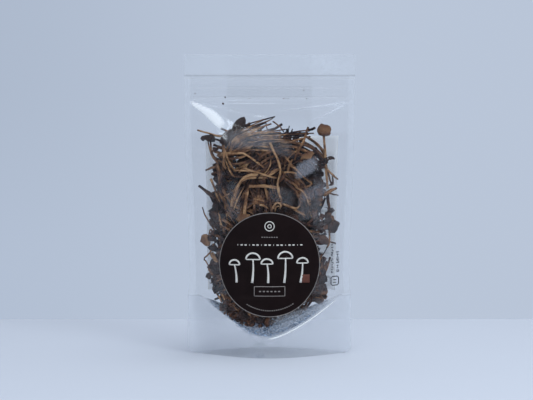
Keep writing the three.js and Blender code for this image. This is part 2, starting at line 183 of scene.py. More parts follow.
def relief(x, z, facing):
    """Slack in a panel: lumps over the contents, pleats along the seals and creases under the zip."""
    seed = 40 * facing
    reach = seal_width(z) - SIDE_SEAL
    inside = smoothstep(reach - abs(x), 0, 9)
    body = smoothstep(z, FOOT_TOP - 6, FOOT_TOP + 14) * (1 - smoothstep(z, 146, 164))
    lumps = 0.9 * wander(x, seed, z, 17) + 0.4 * wander(x, seed + 9, z, 8)
    pleats = 0.8 * wander(x * 0.5, seed + 21, z, 9) * hill(abs(x), reach - 5, 7)
    creases = 0.5 * crease(x, z, 1, 8, 1.6) + 0.6 * crease(x, z, 1, 27, 2) + 0.3 * crease(x, z, -1, 10, 2)
    skirt = 0.35 * wander(x, seed + 33, z * 1.6, 14) * (1 - smoothstep(z, FOOT_TOP - 8, FOOT_TOP))
    skirt *= smoothstep(z, 0, 5)
    head = 0.5 * wander(x, seed + 51, z * 1.5, 16) * smoothstep(z, ZIP_HIGH + 2, ZIP_HIGH + 10)
    return inside * (body * lumps + creases) + body * pleats + skirt + head


def inner_face(x, z, facing):
    """Distance from the middle plane to a panel's inner face."""
    room = GUSSET_ROOM * (1 - smoothstep(z, FOOT_TOP - 1, FOOT_TOP + 2))
    zip_room = ZIP_ROOM * smoothstep(z, ZIP_LOW - 3, ZIP_LOW - 0.3)
    zip_room *= 1 - smoothstep(z, ZIP_HIGH + 0.3, ZIP_HIGH + 7.5)
    zip_room *= 1 - smoothstep(abs(x), ZIP_HALF_LENGTH + ZIP_SWELL, ZIP_HALF_LENGTH + ZIP_SWELL + 2)
    slack = relief(x, z, facing) * smoothstep(half_width(z) - abs(x), 0, 4)
    slack *= 1 - 0.7 * smoothstep(z, ZIP_LOW - 3, ZIP_LOW) * (1 - smoothstep(z, ZIP_HIGH, ZIP_HIGH + 4))
    rest = FILM_GAP + room + zip_room + bulge(x, z)
    return max(FILM_GAP + 0.9 * (room + zip_room), rest + slack)


def panel_point(x, z, outside, facing):
    """A point this far outside a panel's inner face, measured square to it."""
    step = 0.4
    slope_x = (inner_face(x + step, z, facing) - inner_face(x - step, z, facing)) / (2 * step)
    slope_z = (inner_face(x, z + step, facing) - inner_face(x, z - step, facing)) / (2 * step)
    length = math.sqrt(slope_x**2 + 1 + slope_z**2)
    rise = -slope_z * outside / length if 0 < z < HEIGHT else 0
    y = facing * (inner_face(x, z, facing) + outside / length)
    return metres(x - slope_x * outside / length, y, z + rise)


# ------------------------------------------------------------------ finishes
class Wire:
    """A shader socket that takes part in plain arithmetic."""

    def __init__(self, finish, socket):
        self.finish = finish
        self.socket = socket

    def _sum(self, operation, a, b):
        return self.finish.node("ShaderNodeMath", {"operation": operation}, {0: a, 1: b})

    def __add__(self, other):
        return self._sum("ADD", self, other)

    def __sub__(self, other):
        return self._sum("SUBTRACT", self, other)

    def __rsub__(self, other):
        return self._sum("SUBTRACT", other, self)

    def __mul__(self, other):
        return self._sum("MULTIPLY", self, other)

    def __pow__(self, other):
        return self._sum("POWER", self, other)

    __radd__ = __add__
    __rmul__ = __mul__


class Finish:
    """A material whose nodes are made by one method."""

    def __init__(self, name):
        self.material = bpy.data.materials.new(name)
        self.material.use_nodes = True
        self.tree = self.material.node_tree
        self.tree.nodes.clear()

    def node(self, kind, settings=None, sockets=None, output=0):
        """Makes a node, sets it and links or fills its sockets; gives the output that is asked for."""
        made = self.tree.nodes.new(kind)
        for key, value in (settings or {}).items():
            if key == "stops":
                self._stops(made.color_ramp, value)
            else:
                setattr(made, key, value)
        for key, value in (sockets or {}).items():
            if isinstance(value, Wire):
                self.tree.links.new(value.socket, made.inputs[key])
            else:
                made.inputs[key].default_value = value
        return Wire(self, made.outputs[output]) if made.outputs else None

    @staticmethod
    def _stops(ramp, stops):
        for position, colour in stops[:-2]:
            ramp.elements.new(position)
        for element, (position, colour) in zip(ramp.elements, stops):
            element.position = position
            element.color = (*colour, 1)

    def place(self):
        """Where a point is on the pouch, in metres."""
        return self.node("ShaderNodeTexCoord", output="Object")

    def noise(self, size, detail=2, roughness=0.5, stretch=None):
        """Noise, 0 to 1, with bumps of this size in millimetres."""
        where = self.place()
        if stretch:
            where = self.node("ShaderNodeMapping", {}, {0: where, 3: stretch})
        sockets = {"Vector": where, "Scale": 1 / (size * MM), "Detail": detail, "Roughness": roughness}
        return self.node("ShaderNodeTexNoise", {}, sockets)

    def ramp(self, value, stops):
        """The colour that the stops give to a value."""
        return self.node("ShaderNodeValToRGB", {"stops": stops}, {0: value})

    def step(self, value, low, high):
        """0 below low, 1 above high, smooth between."""
        settings = {"interpolation_type": "SMOOTHSTEP"}
        return self.node("ShaderNodeMapRange", settings, {0: value, 1: low, 2: high, 3: 0, 4: 1})

    def blend(self, factor, a, b):
        """Colour a at factor 0, colour b at 1."""
        return self.node("ShaderNodeMix", {"data_type": "RGBA"}, {0: factor, 6: a, 7: b}, 2)

    def attribute(self, name, channel):
        """One channel of a colour attribute of the piece."""
        wire = self.node("ShaderNodeAttribute", {"attribute_name": name}, output="Color")
        return self.node("ShaderNodeSeparateColor", {}, {0: wire}, channel)

    def bump(self, height, distance, strength):
        """A normal roughened by height, over this distance in millimetres."""
        sockets = {"Height": height, "Distance": distance * MM, "Strength": strength}
        return self.node("ShaderNodeBump", {}, sockets)

    def surface(self, **sockets):
        """A Principled surface; underscores in the names stand for spaces."""
        return self.node("ShaderNodeBsdfPrincipled", {}, {k.replace("_", " "): v for k, v in sockets.items()})

    def done(self, shader):
        self.node("ShaderNodeOutputMaterial", {}, {0: shader})
        return self.material


def rgb(*colour):
    return (*colour, 1)


SLANT_MIRROR = 21  # how much more the film mirrors at a slant than face on
SLANT_POWER = 5
# How strongly the painted highlights glow, though the film is no lamp.
PAINTED_GLOW_STRENGTH = 0.11
SEAL_WHITE = rgb(0.84, 0.87, 0.93)
REFLECTION_GREY = rgb(0.46, 0.47, 0.53)
# Dust colours, darkened blue so they also paint the shade on the gusset under the heap.
DUST_AND_SHADE_STOPS = [(0.40, (0.008, 0.022, 0.06)), (0.5, (0.09, 0.16, 0.28)), (0.6, (0.38, 0.51, 0.68))]


def clear_film(name, haze, tint=(0.99, 0.99, 0.99), lines=(), creases=(), shine=0.028):
    """Thin glossy film: it lets most light through, mirrors at a slant and scatters a little.

    lines are level seams across it, as (height in mm, half its width, how much it scatters, its grey);
    creases are painted highlights, straight bright lines along creases, as (across, up, angle, half width,
    length, how much it scatters).
    """
    film = Finish(name)
    facing = film.node("ShaderNodeLayerWeight", {}, {"Blend": 0.5}, "Facing")
    cloud = film.noise(30, 3)
    scratch = film.noise(5, 4, 0.6, stretch=(1, 1, 3))
    # The first channel is the seal; values past any real seal are painted highlights.
    seal = film.attribute("film", 0)
    # The second channel is dust, drawn dark blue as dust and painted shade.
    dust_and_shade = film.attribute("film", 1)
    # The third channel marks painted reflections, drawn grey.
    reflection_mark = film.attribute("film", 2)
    fused = 1 - 0.75 * film.step(seal, 0.3, 1)
    clean = 1 - film.node("ShaderNodeAttribute", {"attribute_name": "film"}, output="Alpha")
    mirror = shine * fused * clean + SLANT_MIRROR * shine * facing**SLANT_POWER
    specks = film.step(film.noise(1.5, 4, 0.75), 0.45, 0.65)
    streak = film.step(scratch, 0.42, 0.62)
    scatter = haze * (0.5 + cloud) + 0.055 * seal + 0.004 * streak
    scatter = scatter + dust_and_shade * (0.34 + 0.5 * specks) + reflection_mark * (0.96 + 0.08 * streak)
    dust_and_shade_colour = film.ramp(film.noise(1.8, 5, 0.8), DUST_AND_SHADE_STOPS)
    # The seal's white, turning pure white where painted highlights are marked.
    white = film.blend(film.step(seal, 2, 4), SEAL_WHITE, rgb(1, 1, 1))
    shade = film.blend(dust_and_shade, film.blend(film.step(reflection_mark, 0.01, 0.1), white, REFLECTION_GREY), dust_and_shade_colour)
    # The glow of the painted highlights.
    painted_highlight = film.blend(film.step(seal, 2, 6), rgb(0, 0, 0), rgb(0.9, 0.95, 1))
    across = film.node("ShaderNodeSeparateXYZ", {}, {0: film.place()}, "X")
    height = film.node("ShaderNodeSeparateXYZ", {}, {0: film.place()}, "Z")
    # Painted highlights along the creases.
    for x, z, angle, half, length, strength in creases:
        run, rise = math.cos(math.radians(angle)), math.sin(math.radians(angle))
        off = (across - x * MM) * rise - (height - z * MM) * run
        off = film.node("ShaderNodeMath", {"operation": "ABSOLUTE"}, {0: off})
        along = (across - x * MM) * run + (height - z * MM) * rise
        fade = film.step(along, 0, 5 * MM) * (1 - film.step(along, 0.35 * length * MM, length * MM))
        scatter = scatter + strength * (fade * (1 - film.step(off, 0, half * MM)))
    for at, half, strength, grey in lines:
        seam = film.step(height, (at - half) * MM, at * MM) - film.step(height, at * MM, (at + half) * MM)
        scatter = scatter + strength * seam
        shade = film.blend(seam, shade, rgb(grey, grey, grey))
    normal = film.bump(film.noise(7, 3, 0.55), 0.2, 0.2)
    pass_through = film.node("ShaderNodeBsdfTransparent", {}, {0: rgb(*tint)})
    veil = film.surface(
        Base_Color=shade,
        Roughness=0.6,
        Specular_IOR_Level=0.0,
        Emission_Color=painted_highlight,
        Emission_Strength=PAINTED_GLOW_STRENGTH,
    )
    gloss = film.surface(Base_Color=rgb(0.97, 0.97, 0.98), Roughness=0.11, Metallic=1.0, Normal=normal)
    veiled = film.node("ShaderNodeMixShader", {}, {0: scatter, 1: pass_through, 2: veil})
    return film.done(film.node("ShaderNodeMixShader", {}, {0: mirror, 1: veiled, 2: gloss}))


DRIED_GLOSS = 0.18


def stem_skin():
    """Dried stems: amber to dark brown, ribbed along their length and blotched."""
    skin = Finish("dried stem")
    tone = skin.attribute("growth", 0)
    along = skin.attribute("growth", 1)
    side = skin.attribute("growth", 2)
    grain = skin.node("ShaderNodeCombineXYZ", {}, {0: 5 * side, 1: 3 * along, 2: 40 * tone})
    rib = skin.node("ShaderNodeTexNoise", {}, {"Vector": grain, "Scale": 1.0, "Detail": 2})
    blotch = skin.noise(2.4, 4, 0.7)
    stain = skin.noise(8, 2)
    fibre = skin.noise(0.8, 3, 0.6)
    depth = tone + 0.9 * (blotch - 0.5) + 1.1 * (stain - 0.5) + 0.3 * (fibre - 0.5) + 0.7 * (rib - 0.5)
    depth = depth - 0.22 * skin.step(along, 0.8, 1.0)
    stops = [
        (0.0, (0.008, 0.005, 0.008)),
        (0.25, (0.026, 0.012, 0.013)),
        (0.5, (0.100, 0.044, 0.026)),
        (0.75, (0.30, 0.150, 0.070)),
        (1.0, (0.52, 0.31, 0.16)),
    ]
    colour = skin.ramp(depth, stops)
    normal = skin.bump(fibre + blotch + rib, 0.6, 0.8)
    shader = skin.surface(
        Base_Color=colour, Roughness=0.5 + 0.3 * blotch, Normal=normal, Specular_IOR_Level=DRIED_GLOSS
    )
    return skin.done(shader)


def cap_skin():
    """Dried caps: wrinkled, near black on the crown, browner at the rim and on the gills."""
    skin = Finish("dried cap")
    tone = skin.attribute("growth", 0)
    rim = skin.attribute("growth", 1)
    wrinkle = skin.noise(1.6, 5, 0.7)
    depth = tone + 0.35 * (wrinkle - 0.5) + 0.28 * rim
    stops = [
        (0.0, (0.012, 0.006, 0.006)),
        (0.35, (0.044, 0.019, 0.014)),
        (0.65, (0.125, 0.052, 0.026)),
        (1.0, (0.28, 0.15, 0.075)),
    ]
    colour = skin.ramp(depth, stops)
    normal = skin.bump(wrinkle, 0.9, 0.8)
    shader = skin.surface(
        Base_Color=colour, Roughness=0.42 + 0.3 * wrinkle, Normal=normal, Specular_IOR_Level=DRIED_GLOSS
    )
    return skin.done(shader)


def shaded_heart_skin():
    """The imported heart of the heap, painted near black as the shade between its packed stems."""
    skin = Finish("packed heart")
    strands = skin.noise(2.2, 4, 0.7, stretch=(1, 1, 0.35))
    stops = [
        (0.3, (0.005, 0.003, 0.003)),
        (0.55, (0.026, 0.012, 0.009)),
        (0.8, (0.08, 0.036, 0.018)),
    ]
    normal = skin.bump(strands, 1.5, 0.9)
    colour = skin.ramp(strands, stops)
    shader = skin.surface(Base_Color=colour, Roughness=0.85, Normal=normal, Specular_IOR_Level=0.05)
    return skin.done(shader)


def label_paper(name, light, dark, grain, roughness, gloss, glow=0):
    """Label paper with a faint tooth and handling marks; glow is how far light soaks through, in mm."""
    paper = Finish(name)
    tooth = paper.noise(0.5, 3)
    smudge = paper.noise(14, 4, 0.6)
    colour = paper.blend(paper.step(smudge, 0.3, 0.75), rgb(*dark), rgb(*light))
    normal = paper.bump(tooth, grain, 0.4)
    rough = roughness + 0.12 * smudge
    sockets = {"Base_Color": colour, "Roughness": rough, "Normal": normal, "Specular_IOR_Level": gloss}
    if glow:
        sockets |= {"Subsurface_Weight": 1.0, "Subsurface_Radius": (1, 1, 1), "Subsurface_Scale": glow * MM}
    return paper.done(paper.surface(**sockets))


def ink(name, colour, roughness=0.5):
    """Printing ink, worn a little thin."""
    print_ = Finish(name)
    wear = print_.noise(0.7, 3)
    shade = print_.blend(print_.step(wear, 0.35, 0.7), rgb(*(0.82 * c for c in colour)), rgb(*colour))
    return print_.done(print_.surface(Base_Color=shade, Roughness=roughness + 0.15 * wear))


def studio_paint(name, colour):
    """Matt backdrop paint."""
    paint = Finish(name)
    cloud = paint.noise(300, 2)
    shade = paint.blend(cloud, rgb(*(0.97 * c for c in colour)), rgb(*colour))
    return paint.done(paint.surface(Base_Color=shade, Roughness=0.9, Specular_IOR_Level=0.1))


# ------------------------------------------------------------------ pieces
def piece(name, bm, finish, replaces=()):
    """Makes a mesh object of a bmesh, smooth shaded, riding with the pouch."""
    mesh = bpy.data.meshes.new(name)
    bm.to_mesh(mesh)
    bm.free()
    mesh.materials.append(finish)
    mesh.shade_smooth()
    obj = bpy.data.objects.new(name, mesh)
    bpy.context.collection.objects.link(obj)
    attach(obj, "root")
    if replaces:
        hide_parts(*replaces)
    return obj


def thicken(obj, thickness):
    """Gives a sheet its thickness, inwards from the face that is modelled."""
    solid = obj.modifiers.new("thickness", "SOLIDIFY")
    solid.thickness = thickness * MM
    solid.offset = -1
    return obj


def grid(columns, rows, place):
    """A grid whose vertices are put where place(u, v) says, for u and v from -1 to 1."""
    bm = bmesh.new()
    bmesh.ops.create_grid(bm, x_segments=columns, y_segments=rows, size=1)
    for vert in bm.verts:
        vert.co = place(vert.co.x, vert.co.y)
    return bm


def mark_film(bm, rule):
    """Writes how sealed, dusty and dull the film is, and where painted highlights, painted shade and painted
    reflections lie, from rule(x, z).
    """
    layer = bm.verts.layers.float_color.new("film")
    for vert in bm.verts:
        vert[layer] = rule(vert.co.x / MM, vert.co.z / MM)


# ------------------------------------------------------------------ films
PANEL_COLUMNS = 100
PANEL_ROWS = 170

# Painted reflections: soft patches where the film would show the lights and the room: across, up, half
# its length and height, its slope and how much it scatters.
PAINTED_REFLECTIONS = [
    (25.5, 131, 7.5, 5.5, 0.45, 0.2),
    (31, 114.5, 10, 4, 0.35, 0.10),
    (28, 104, 9, 9, 0.2, 0.04),
    (8, 112, 9, 6, -0.3, 0.025),
    (-25, 108, 5, 14, 0, 0.03),
    (-12, 152, 20, 7, 0.15, 0.05),
    (2, 147, 14, 6, -0.3, 0.03),
]


def painted_reflection_amount(x, z):
    """How much the film scatters for the painted reflections on it."""
    total = 0
    for at_x, at_z, long, high, slope, much in PAINTED_REFLECTIONS:
        u = (x - at_x) / long
        v = (z - at_z - slope * (x - at_x)) / high
        total += much * (1 - smoothstep((abs(u) ** 4 + abs(v) ** 4) ** (1 / 4), 0.7, 1.1))
    return total


# The painted highlight in the corner under the zip, standing in for a light's reflection: the degrees below
# level between which it lies, and where along its length, in millimetres, it narrows and fades.
GLEAM_LOW = 23
GLEAM_LOW_END = 32
GLEAM_HIGH = 43
GLEAM_BLUR = 3
GLEAM_NARROWS = (16, 34)
GLEAM_START = (0, 5)
GLEAM_END = (26, 36)


def painted_corner_highlight(x, z):
    """A painted highlight below the left end of the zip, drawn white and glowing: a band that runs down
    towards the middle.
    """
    run = x + ZIP_HALF_LENGTH + 3.5
    drop = ROOF_TOP + 1.5 - z
    angle = math.degrees(math.atan2(drop, run))
    length = math.hypot(run, drop)
    low = lerp(GLEAM_LOW, GLEAM_LOW_END, smoothstep(length, *GLEAM_NARROWS))
    high = GLEAM_HIGH + 12 * hill(length, 2, 6)
    above = smoothstep(angle, low - GLEAM_BLUR, low + GLEAM_BLUR)
    band = above * (1 - smoothstep(angle, high - GLEAM_BLUR, high + GLEAM_BLUR))
    return band * smoothstep(length, *GLEAM_START) * (1 - smoothstep(length, *GLEAM_END))


SAG = 2.6  # how much lower the seal's edge is seen to hang, left of the middle
SAG_PLACE = -15
SAG_WIDTH = 9


def seal_edge(x):
    """Where the gusset's seal is seen to end: a little lower left of the middle."""
    return gusset_seal(x) - SAG * hill(x, SAG_PLACE, SAG_WIDTH)


# The mark of the painted highlights, which also makes them glow.
PAINTED_HIGHLIGHT_MARK = 8  # a seal value past that of any seal, which the film's shader draws white
SKIRT_PATCH_MARK = 0.32


def panel_marks(x, z, facing):
    """How sealed a panel is, its painted highlights in the same channel; how dusty, with painted shade; where
    painted reflections lie; and how dull. The painted corner highlight and the skirt patch are on the front
    alone.
    """
    reach = half_width(z) - SIDE_SEAL
    side = smoothstep(abs(x), reach - 0.4, reach + 0.4)
    top = smoothstep(z, HEIGHT - TOP_SEAL - 0.5, HEIGHT - TOP_SEAL + 0.5)
    foot = smoothstep(seal_edge(x) - z, -0.3, 0.6) * 1.4
    # Painted highlight on the crumpled top seal, right of the middle: it raises the seal value, so it draws
    # whiter and, where strongest, glows a little.
    crumple_highlight = 1.6 * hill(x - 40 + 1.2 * (z - 203), 0, 9) * hill(z, 203, 5) * (0.5 + wander(x, 3, z, 3))
    # A painted shadow: a dark spot low at the front, where the pouch's foot shades the floor.
    dust_and_shade_marks = 0.4 * hill(x, -7, 4) * hill(z, 1.5, 2)
    rise = z - seal_edge(x)
    # A darker, bluer patch on the front skirt right of the middle, drawn in the dust colours.
    haze = smoothstep(x, -2, 12) * smoothstep(rise, 2, 7) * (1 - smoothstep(z - 0.27 * x, 25, 29))
    # Painted reflections, with a faint grey veil on the sealed foot at the left.
    grey = painted_reflection_amount(x, z) + 0.035 * smoothstep(rise, 0, -2) * hill(x, -38, 20) * hill(z, 28, 14)
    dust_and_shade_marks += SKIRT_PATCH_MARK * haze if facing < 0 else 0
    # Painted highlight below the zip's left end, on the front alone.
    painted_highlight = PAINTED_HIGHLIGHT_MARK * painted_corner_highlight(x, z) if facing < 0 else 0
    dull = 0.9 * (1 - smoothstep(z, 156, 170 - 16 * smoothstep(abs(x), 22, 32)))
    return max(side, top + max(0, crumple_highlight), foot) + painted_highlight, dust_and_shade_marks, grey, dull


EDGE_CROWDING = 1.25  # how strongly a sheet's columns crowd towards its side seals


def crowded(u):
    """A share of the way across, -1 to 1, for an even column u."""
    return math.sin(EDGE_CROWDING * u) / math.sin(EDGE_CROWDING)


def panel(name, facing, finish):
    """The front or the back sheet of the pouch."""

    def place(u, v):
        z = HEIGHT * (v + 1) / 2
        x = -facing * crowded(u) * half_width(z)
        return panel_point(x, z, FILM, facing)

    bm = grid(PANEL_COLUMNS, PANEL_ROWS, place)
    mark_film(bm, lambda x, z: panel_marks(x, z, facing))
    return thicken(piece(name, bm, finish, [name.replace("_sheet", "_film")]), FILM)


GUSSET_ROWS = 60
GUSSET_LEAF = 0.36  # share of the section that each skirt takes
GUSSET_FILM = 0.1


def gusset(finish):
    """Up the front skirt, over the floor under the mushrooms, and down the back skirt."""

    def place(u, v):
        share = crowded(u)
        seal = gusset_seal(share * FOOT_HALF_WIDTH)
        facing = 1 if v > 0 else -1
        over = min(1, abs(v) / (1 - GUSSET_LEAF))
        up = 1 if over < 1 else (1 - abs(v)) / GUSSET_LEAF
        x = share * (half_width(min(seal * up, seal)) - 0.3)
        reach = inner_face(x, seal * up, facing) - 0.12
        crumple = 0.5 * wander(x, 20 * over, seal, 7) * (1 - over**4)
        ridge = gusset_ridge(share * FOOT_HALF_WIDTH) * (1 - over * over)
        z = seal * up + (ridge + crumple if over < 1 else 0)
        return metres(x, facing * over * reach, z)

    bm = grid(PANEL_COLUMNS, GUSSET_ROWS, place)

    def marks(x, z):
        """Sealed under the edge; dusty over the floor, its dark blue also painted shade, with less of it to
        the right.
        """
        lift = z - seal_edge(x)
        dust_and_shade = smoothstep(lift, 0.3, 2) * (1 - smoothstep(abs(x), 38, 47))
        return 1.2 * (1 - smoothstep(lift, 0, 1)), dust_and_shade * lerp(1, 0.62, smoothstep(x, 22, 40)), 0, 0

    mark_film(bm, marks)
    return thicken(piece("gusset_sheet", bm, finish, ["foot_gusset"]), GUSSET_FILM)


BEAD_SIDES = 6
BEAD_CUTS = 90
BEAD_HALF_HEIGHT = 0.35
BEAD_HALF_DEPTH = 0.25
BEAD_HIGHLIGHT_MARK = 12  # its seal value where it shines most


def seal_bead(name, facing, finish):
    """The bead of melted film along the upper edge of the gusset's seal, with a painted highlight, white and
    glowing, along its right arm.
    """
    bm = bmesh.new()
    bmesh.ops.create_cone(bm, cap_ends=True, segments=BEAD_SIDES, radius1=1, radius2=1, depth=2)
    lengthwise = [e for e in bm.edges if abs(e.verts[0].co.z - e.verts[1].co.z) > 1]
    bmesh.ops.subdivide_edges(bm, edges=lengthwise, cuts=BEAD_CUTS)
    layer = bm.verts.layers.float_color.new("film")
    for vert in bm.verts:
        x = vert.co.z * (GUSSET_REACH + 1)
        z = gusset_seal(x) + BEAD_HALF_HEIGHT * vert.co.y
        # Painted highlight: strong right of the middle, faint at the left and towards the ends.
        shine = lerp(0.1, 1, smoothstep(x, -3, 4)) * (1 - 0.8 * smoothstep(abs(x), 34, 50))
        vert.co = panel_point(x, z, FILM + 0.1 + BEAD_HALF_DEPTH * vert.co.x, facing)
        vert[layer] = (BEAD_HIGHLIGHT_MARK * shine, 0, 0, 0)
    bmesh.ops.recalc_face_normals(bm, faces=bm.faces)
    return piece(name, bm, finish)


# ------------------------------------------------------------------ labels
def round_belly(distance, z):
    """The X reached by going a distance round the belly from its middle."""
    step = 0.5
    x = 0
    gone = 0
    while gone < abs(distance):
        slope = (bulge(x + step, z) - bulge(x, z)) / step
        x += min(step, abs(distance) - gone) / math.hypot(1, slope)
        gone += step
    return math.copysign(x, distance)


def label_point(across, z, lift, facing):
    """A point on a label, from its distance round the belly and its height."""
    return panel_point(-facing * round_belly(across, z), z, LABEL_LIFT + lift, facing)


def disc_point(u, v, radius):
    """A square grid's point u, v, from -1 to 1, moved to where it lies on a disc."""
    return radius * u * math.sqrt(1 - v * v / 2), radius * v * math.sqrt(1 - u * u / 2)


def round_label(finish):
    """The round paper on the front."""

    def place(u, v):
        across, up = disc_point(u, v, ROUND_LABEL_RADIUS)
        return label_point(across, ROUND_LABEL_HEIGHT + up, LABEL, -1)

    bm = grid(44, 44, place)
    return thicken(piece("round_label_paper", bm, finish, ["round_label"]), LABEL)


def back_label(finish):
    """The oblong paper on the back."""

    def place(u, v):
        z = lerp(BACK_LABEL_LOW, BACK_LABEL_HIGH, (v + 1) / 2)
        return label_point(u * BACK_LABEL_HALF_WIDTH - BACK_LABEL_ASIDE, z, LABEL, 1)

    bm = grid(40, 44, place)
    return thicken(piece("back_label_paper", bm, finish, ["back_label"]), LABEL)


class Print:
    """Thin raised ink on a label, drawn stroke by stroke in flat label millimetres."""

    def __init__(self, facing, height, aside=0, on_film=False):
        self.bm = bmesh.new()
        self.facing = facing
        self.height = height
        self.aside = aside
        self.on_film = on_film

    def place(self, across, up):
        if self.on_film:
            return panel_point(-self.facing * across, up, FILM + 0.05, self.facing)
        return label_point(across, up, LABEL + 0.09, self.facing)

    def stroke(self, points, widths, closed=False):
        """A ribbon along points, as wide as widths says at each of them."""
        if isinstance(widths, (int, float)):
            widths = [widths] * len(points)
        count = len(points)
        sides = []
        for i, (x, z) in enumerate(points):
            before = points[i - 1] if closed or i else points[i]
            after = points[(i + 1) % count] if closed or i < count - 1 else points[i]
            along = Vector((after[0] - before[0], after[1] - before[1])).normalized()
            half = Vector((-along.y, along.x)) * widths[i] / 2
            pair = []
            for sign in (1, -1):
                across = x + sign * half.x + self.aside
                up = self.height + z + sign * half.y
                pair.append(self.bm.verts.new(self.place(across, up)))
            sides.append(pair)
        for i in range(count if closed else count - 1):
            a, b = sides[i], sides[(i + 1) % count]
            self.bm.faces.new((a[1], b[1], b[0], a[0]))

    def line(self, x0, z0, x1, z1, width, steps=6):
        points = [(lerp(x0, x1, i / steps), lerp(z0, z1, i / steps)) for i in range(steps + 1)]
        self.stroke(points, width)

    def arc(self, cx, cz, radius, start, end, width, steps=24, squash=1.0):
        points = []
        for i in range(steps + 1):
            a = math.radians(lerp(start, end, i / steps))
            points.append((cx + radius * math.cos(a), cz + squash * radius * math.sin(a)))
        self.stroke(points, width)

    def ring(self, cx, cz, radius, width, steps=96):
        turns = [2 * math.pi * i / steps for i in range(steps)]
        self.stroke([(cx + radius * math.cos(a), cz + radius * math.sin(a)) for a in turns], width, True)

    def done(self, name, finish, slot):
        return thicken(piece(name, self.bm, finish), 0.03)


def enoki_sign(sheet, x, z, tall, lean):
    """A plain drawn enoki: a small domed cap on a long thin stem."""
    radius = tall * 0.23
    top = z + tall - radius
    sheet.arc(x + lean, top, radius, 0, 180, 1.15, 16, 0.9)
    sheet.line(x + lean - radius, top, x + lean + radius, top, 0.8)
    points = []
    for i in range(9):
        t = i / 8
        points.append((x + lean * t + 0.5 * math.sin(3 * t), lerp(z, top, t)))
    sheet.stroke(points, [lerp(1.7, 0.9, i / 8) for i in range(9)])


def round_print(cream, faint, red):
    sheet = Print(-1, ROUND_LABEL_HEIGHT)
    for x, tall, lean in ((-23, 16, -1.5), (-12, 21, 0.6), (-1, 17, -0.8), (10, 22, 0.8), (21.5, 17.5, 1.4)):
        enoki_sign(sheet, x, -12.5, tall, lean)
    for i in range(17):
        x = lerp(-22, 22, i / 16)
        sheet.line(x - (0.8 if i % 3 else 0.2), 13.6, x + (0.8 if i % 3 else 0.2), 13.6, 0.9, 2)
    for radius in (1.2, 3.2):
        sheet.ring(0, 26.5, radius, 0.6, 24)
    sheet.done("round_label_print", cream, "dark_paper")

    trim = Print(-1, ROUND_LABEL_HEIGHT)
    trim.ring(0, 0, ROUND_LABEL_RADIUS - 0.35, 0.4)
    for z in (-15, -21.5):
        trim.line(-10.5, z, 10.5, z, 0.4, 10)
    for x in (-10.5, 10.5):
        trim.line(x, -21.5, x, -15, 0.4)
    for i in range(6):
        x = lerp(-6.5, 6.5, i / 5)
        trim.line(x - 0.7, -18.3, x + 0.7, -18.3, 0.8, 2)
    for i in range(23):
        a = math.radians(lerp(240, 300, i / 22))
        b = a + math.radians(1.3)
        r = ROUND_LABEL_RADIUS - 4.5
        trim.stroke([(r * math.cos(a), r * math.sin(a)), (r * math.cos(b), r * math.sin(b))], 0.7)
    for i in range(7):
        x = lerp(-5, 5, i / 6)
        trim.line(x - 0.5, 19, x + 0.5, 19, 0.6, 2)
    trim.done("round_label_trim", faint, "dark_paper")

    stamp = Print(-1, ROUND_LABEL_HEIGHT)
    for i in range(5):
        stamp.line(23.2 + 1.1 * i, -12.6, 23.2 + 1.1 * i, -7, 1.16, 4)
    stamp.done("round_label_stamp", red, "dark_paper")


def film_print(grey):
    """Two columns of small ticks and an outlined square, stamped on the front film."""
    sheet = Print(-1, 0, on_film=True)
    draw = random.Random(5)
    for x, low, high, wide in ((43.6, 57, 77, 1.7), (47.5, 56.5, 72, 2.5)):
        z = high
        while z > low:
            long = wide * draw.uniform(0.4, 1)
            sheet.line(x - long / 2, z, x + long / 2, z, 0.55, 1)
            if draw.random() < 0.6:
                aside = x + draw.uniform(-0.4, 0.4) * wide
                sheet.line(aside, z - 1, aside, z, 0.5, 1)
            z -= draw.uniform(1.0, 1.9)
    left, right, low, high = 42.8, 48.3, 48.7, 54.9
    square = [(left, low + 1), (left, high - 1), (left + 1, high), (right - 1, high)]
    square += [(right, high - 1), (right, low + 1), (right - 1, low), (left + 1, low)]
    sheet.stroke(square, 0.7, True)
    for z in (50.6, 52.6):
        sheet.line(left + 1.6, z, right - 1.6, z, 0.6, 1)
    sheet.done("film_print", grey, "film")


def back_print(dark):
    sheet = Print(1, 0, -BACK_LABEL_ASIDE)
    left, right = -BACK_LABEL_HALF_WIDTH + 4, BACK_LABEL_HALF_WIDTH - 4
    rows = [BACK_LABEL_HIGH - 12 - 7.5 * i for i in range(12)]
    for z in rows:
        sheet.line(left, z, right, z, 0.3, 24)
    for x in (left, left + 24, right):
        sheet.line(x, rows[-1], x, rows[0], 0.3, 24)
    draw = random.Random(3)
    for z in rows[1:]:
        x = left + 2
        while x < right - 6:
            long = draw.uniform(1.2, 4)
            if abs(x - left - 24) > 4.5 or x > left + 25:
                sheet.line(x, z + 3.6, x + long, z + 3.6, 0.9, 2)
            x += long + 1
    for low, high in ((BACK_LABEL_LOW + 3, BACK_LABEL_LOW + 9),):
        sheet.line(left + 1, low, left + 7, low, 0.5, 3)
        sheet.line(left + 1, high, left + 7, high, 0.5, 3)
        sheet.line(left + 1, low, left + 1, high, 0.5, 3)
        sheet.line(left + 7, low, left + 7, high, 0.5, 3)
    sheet.done("back_label_print", dark, "pale_paper")


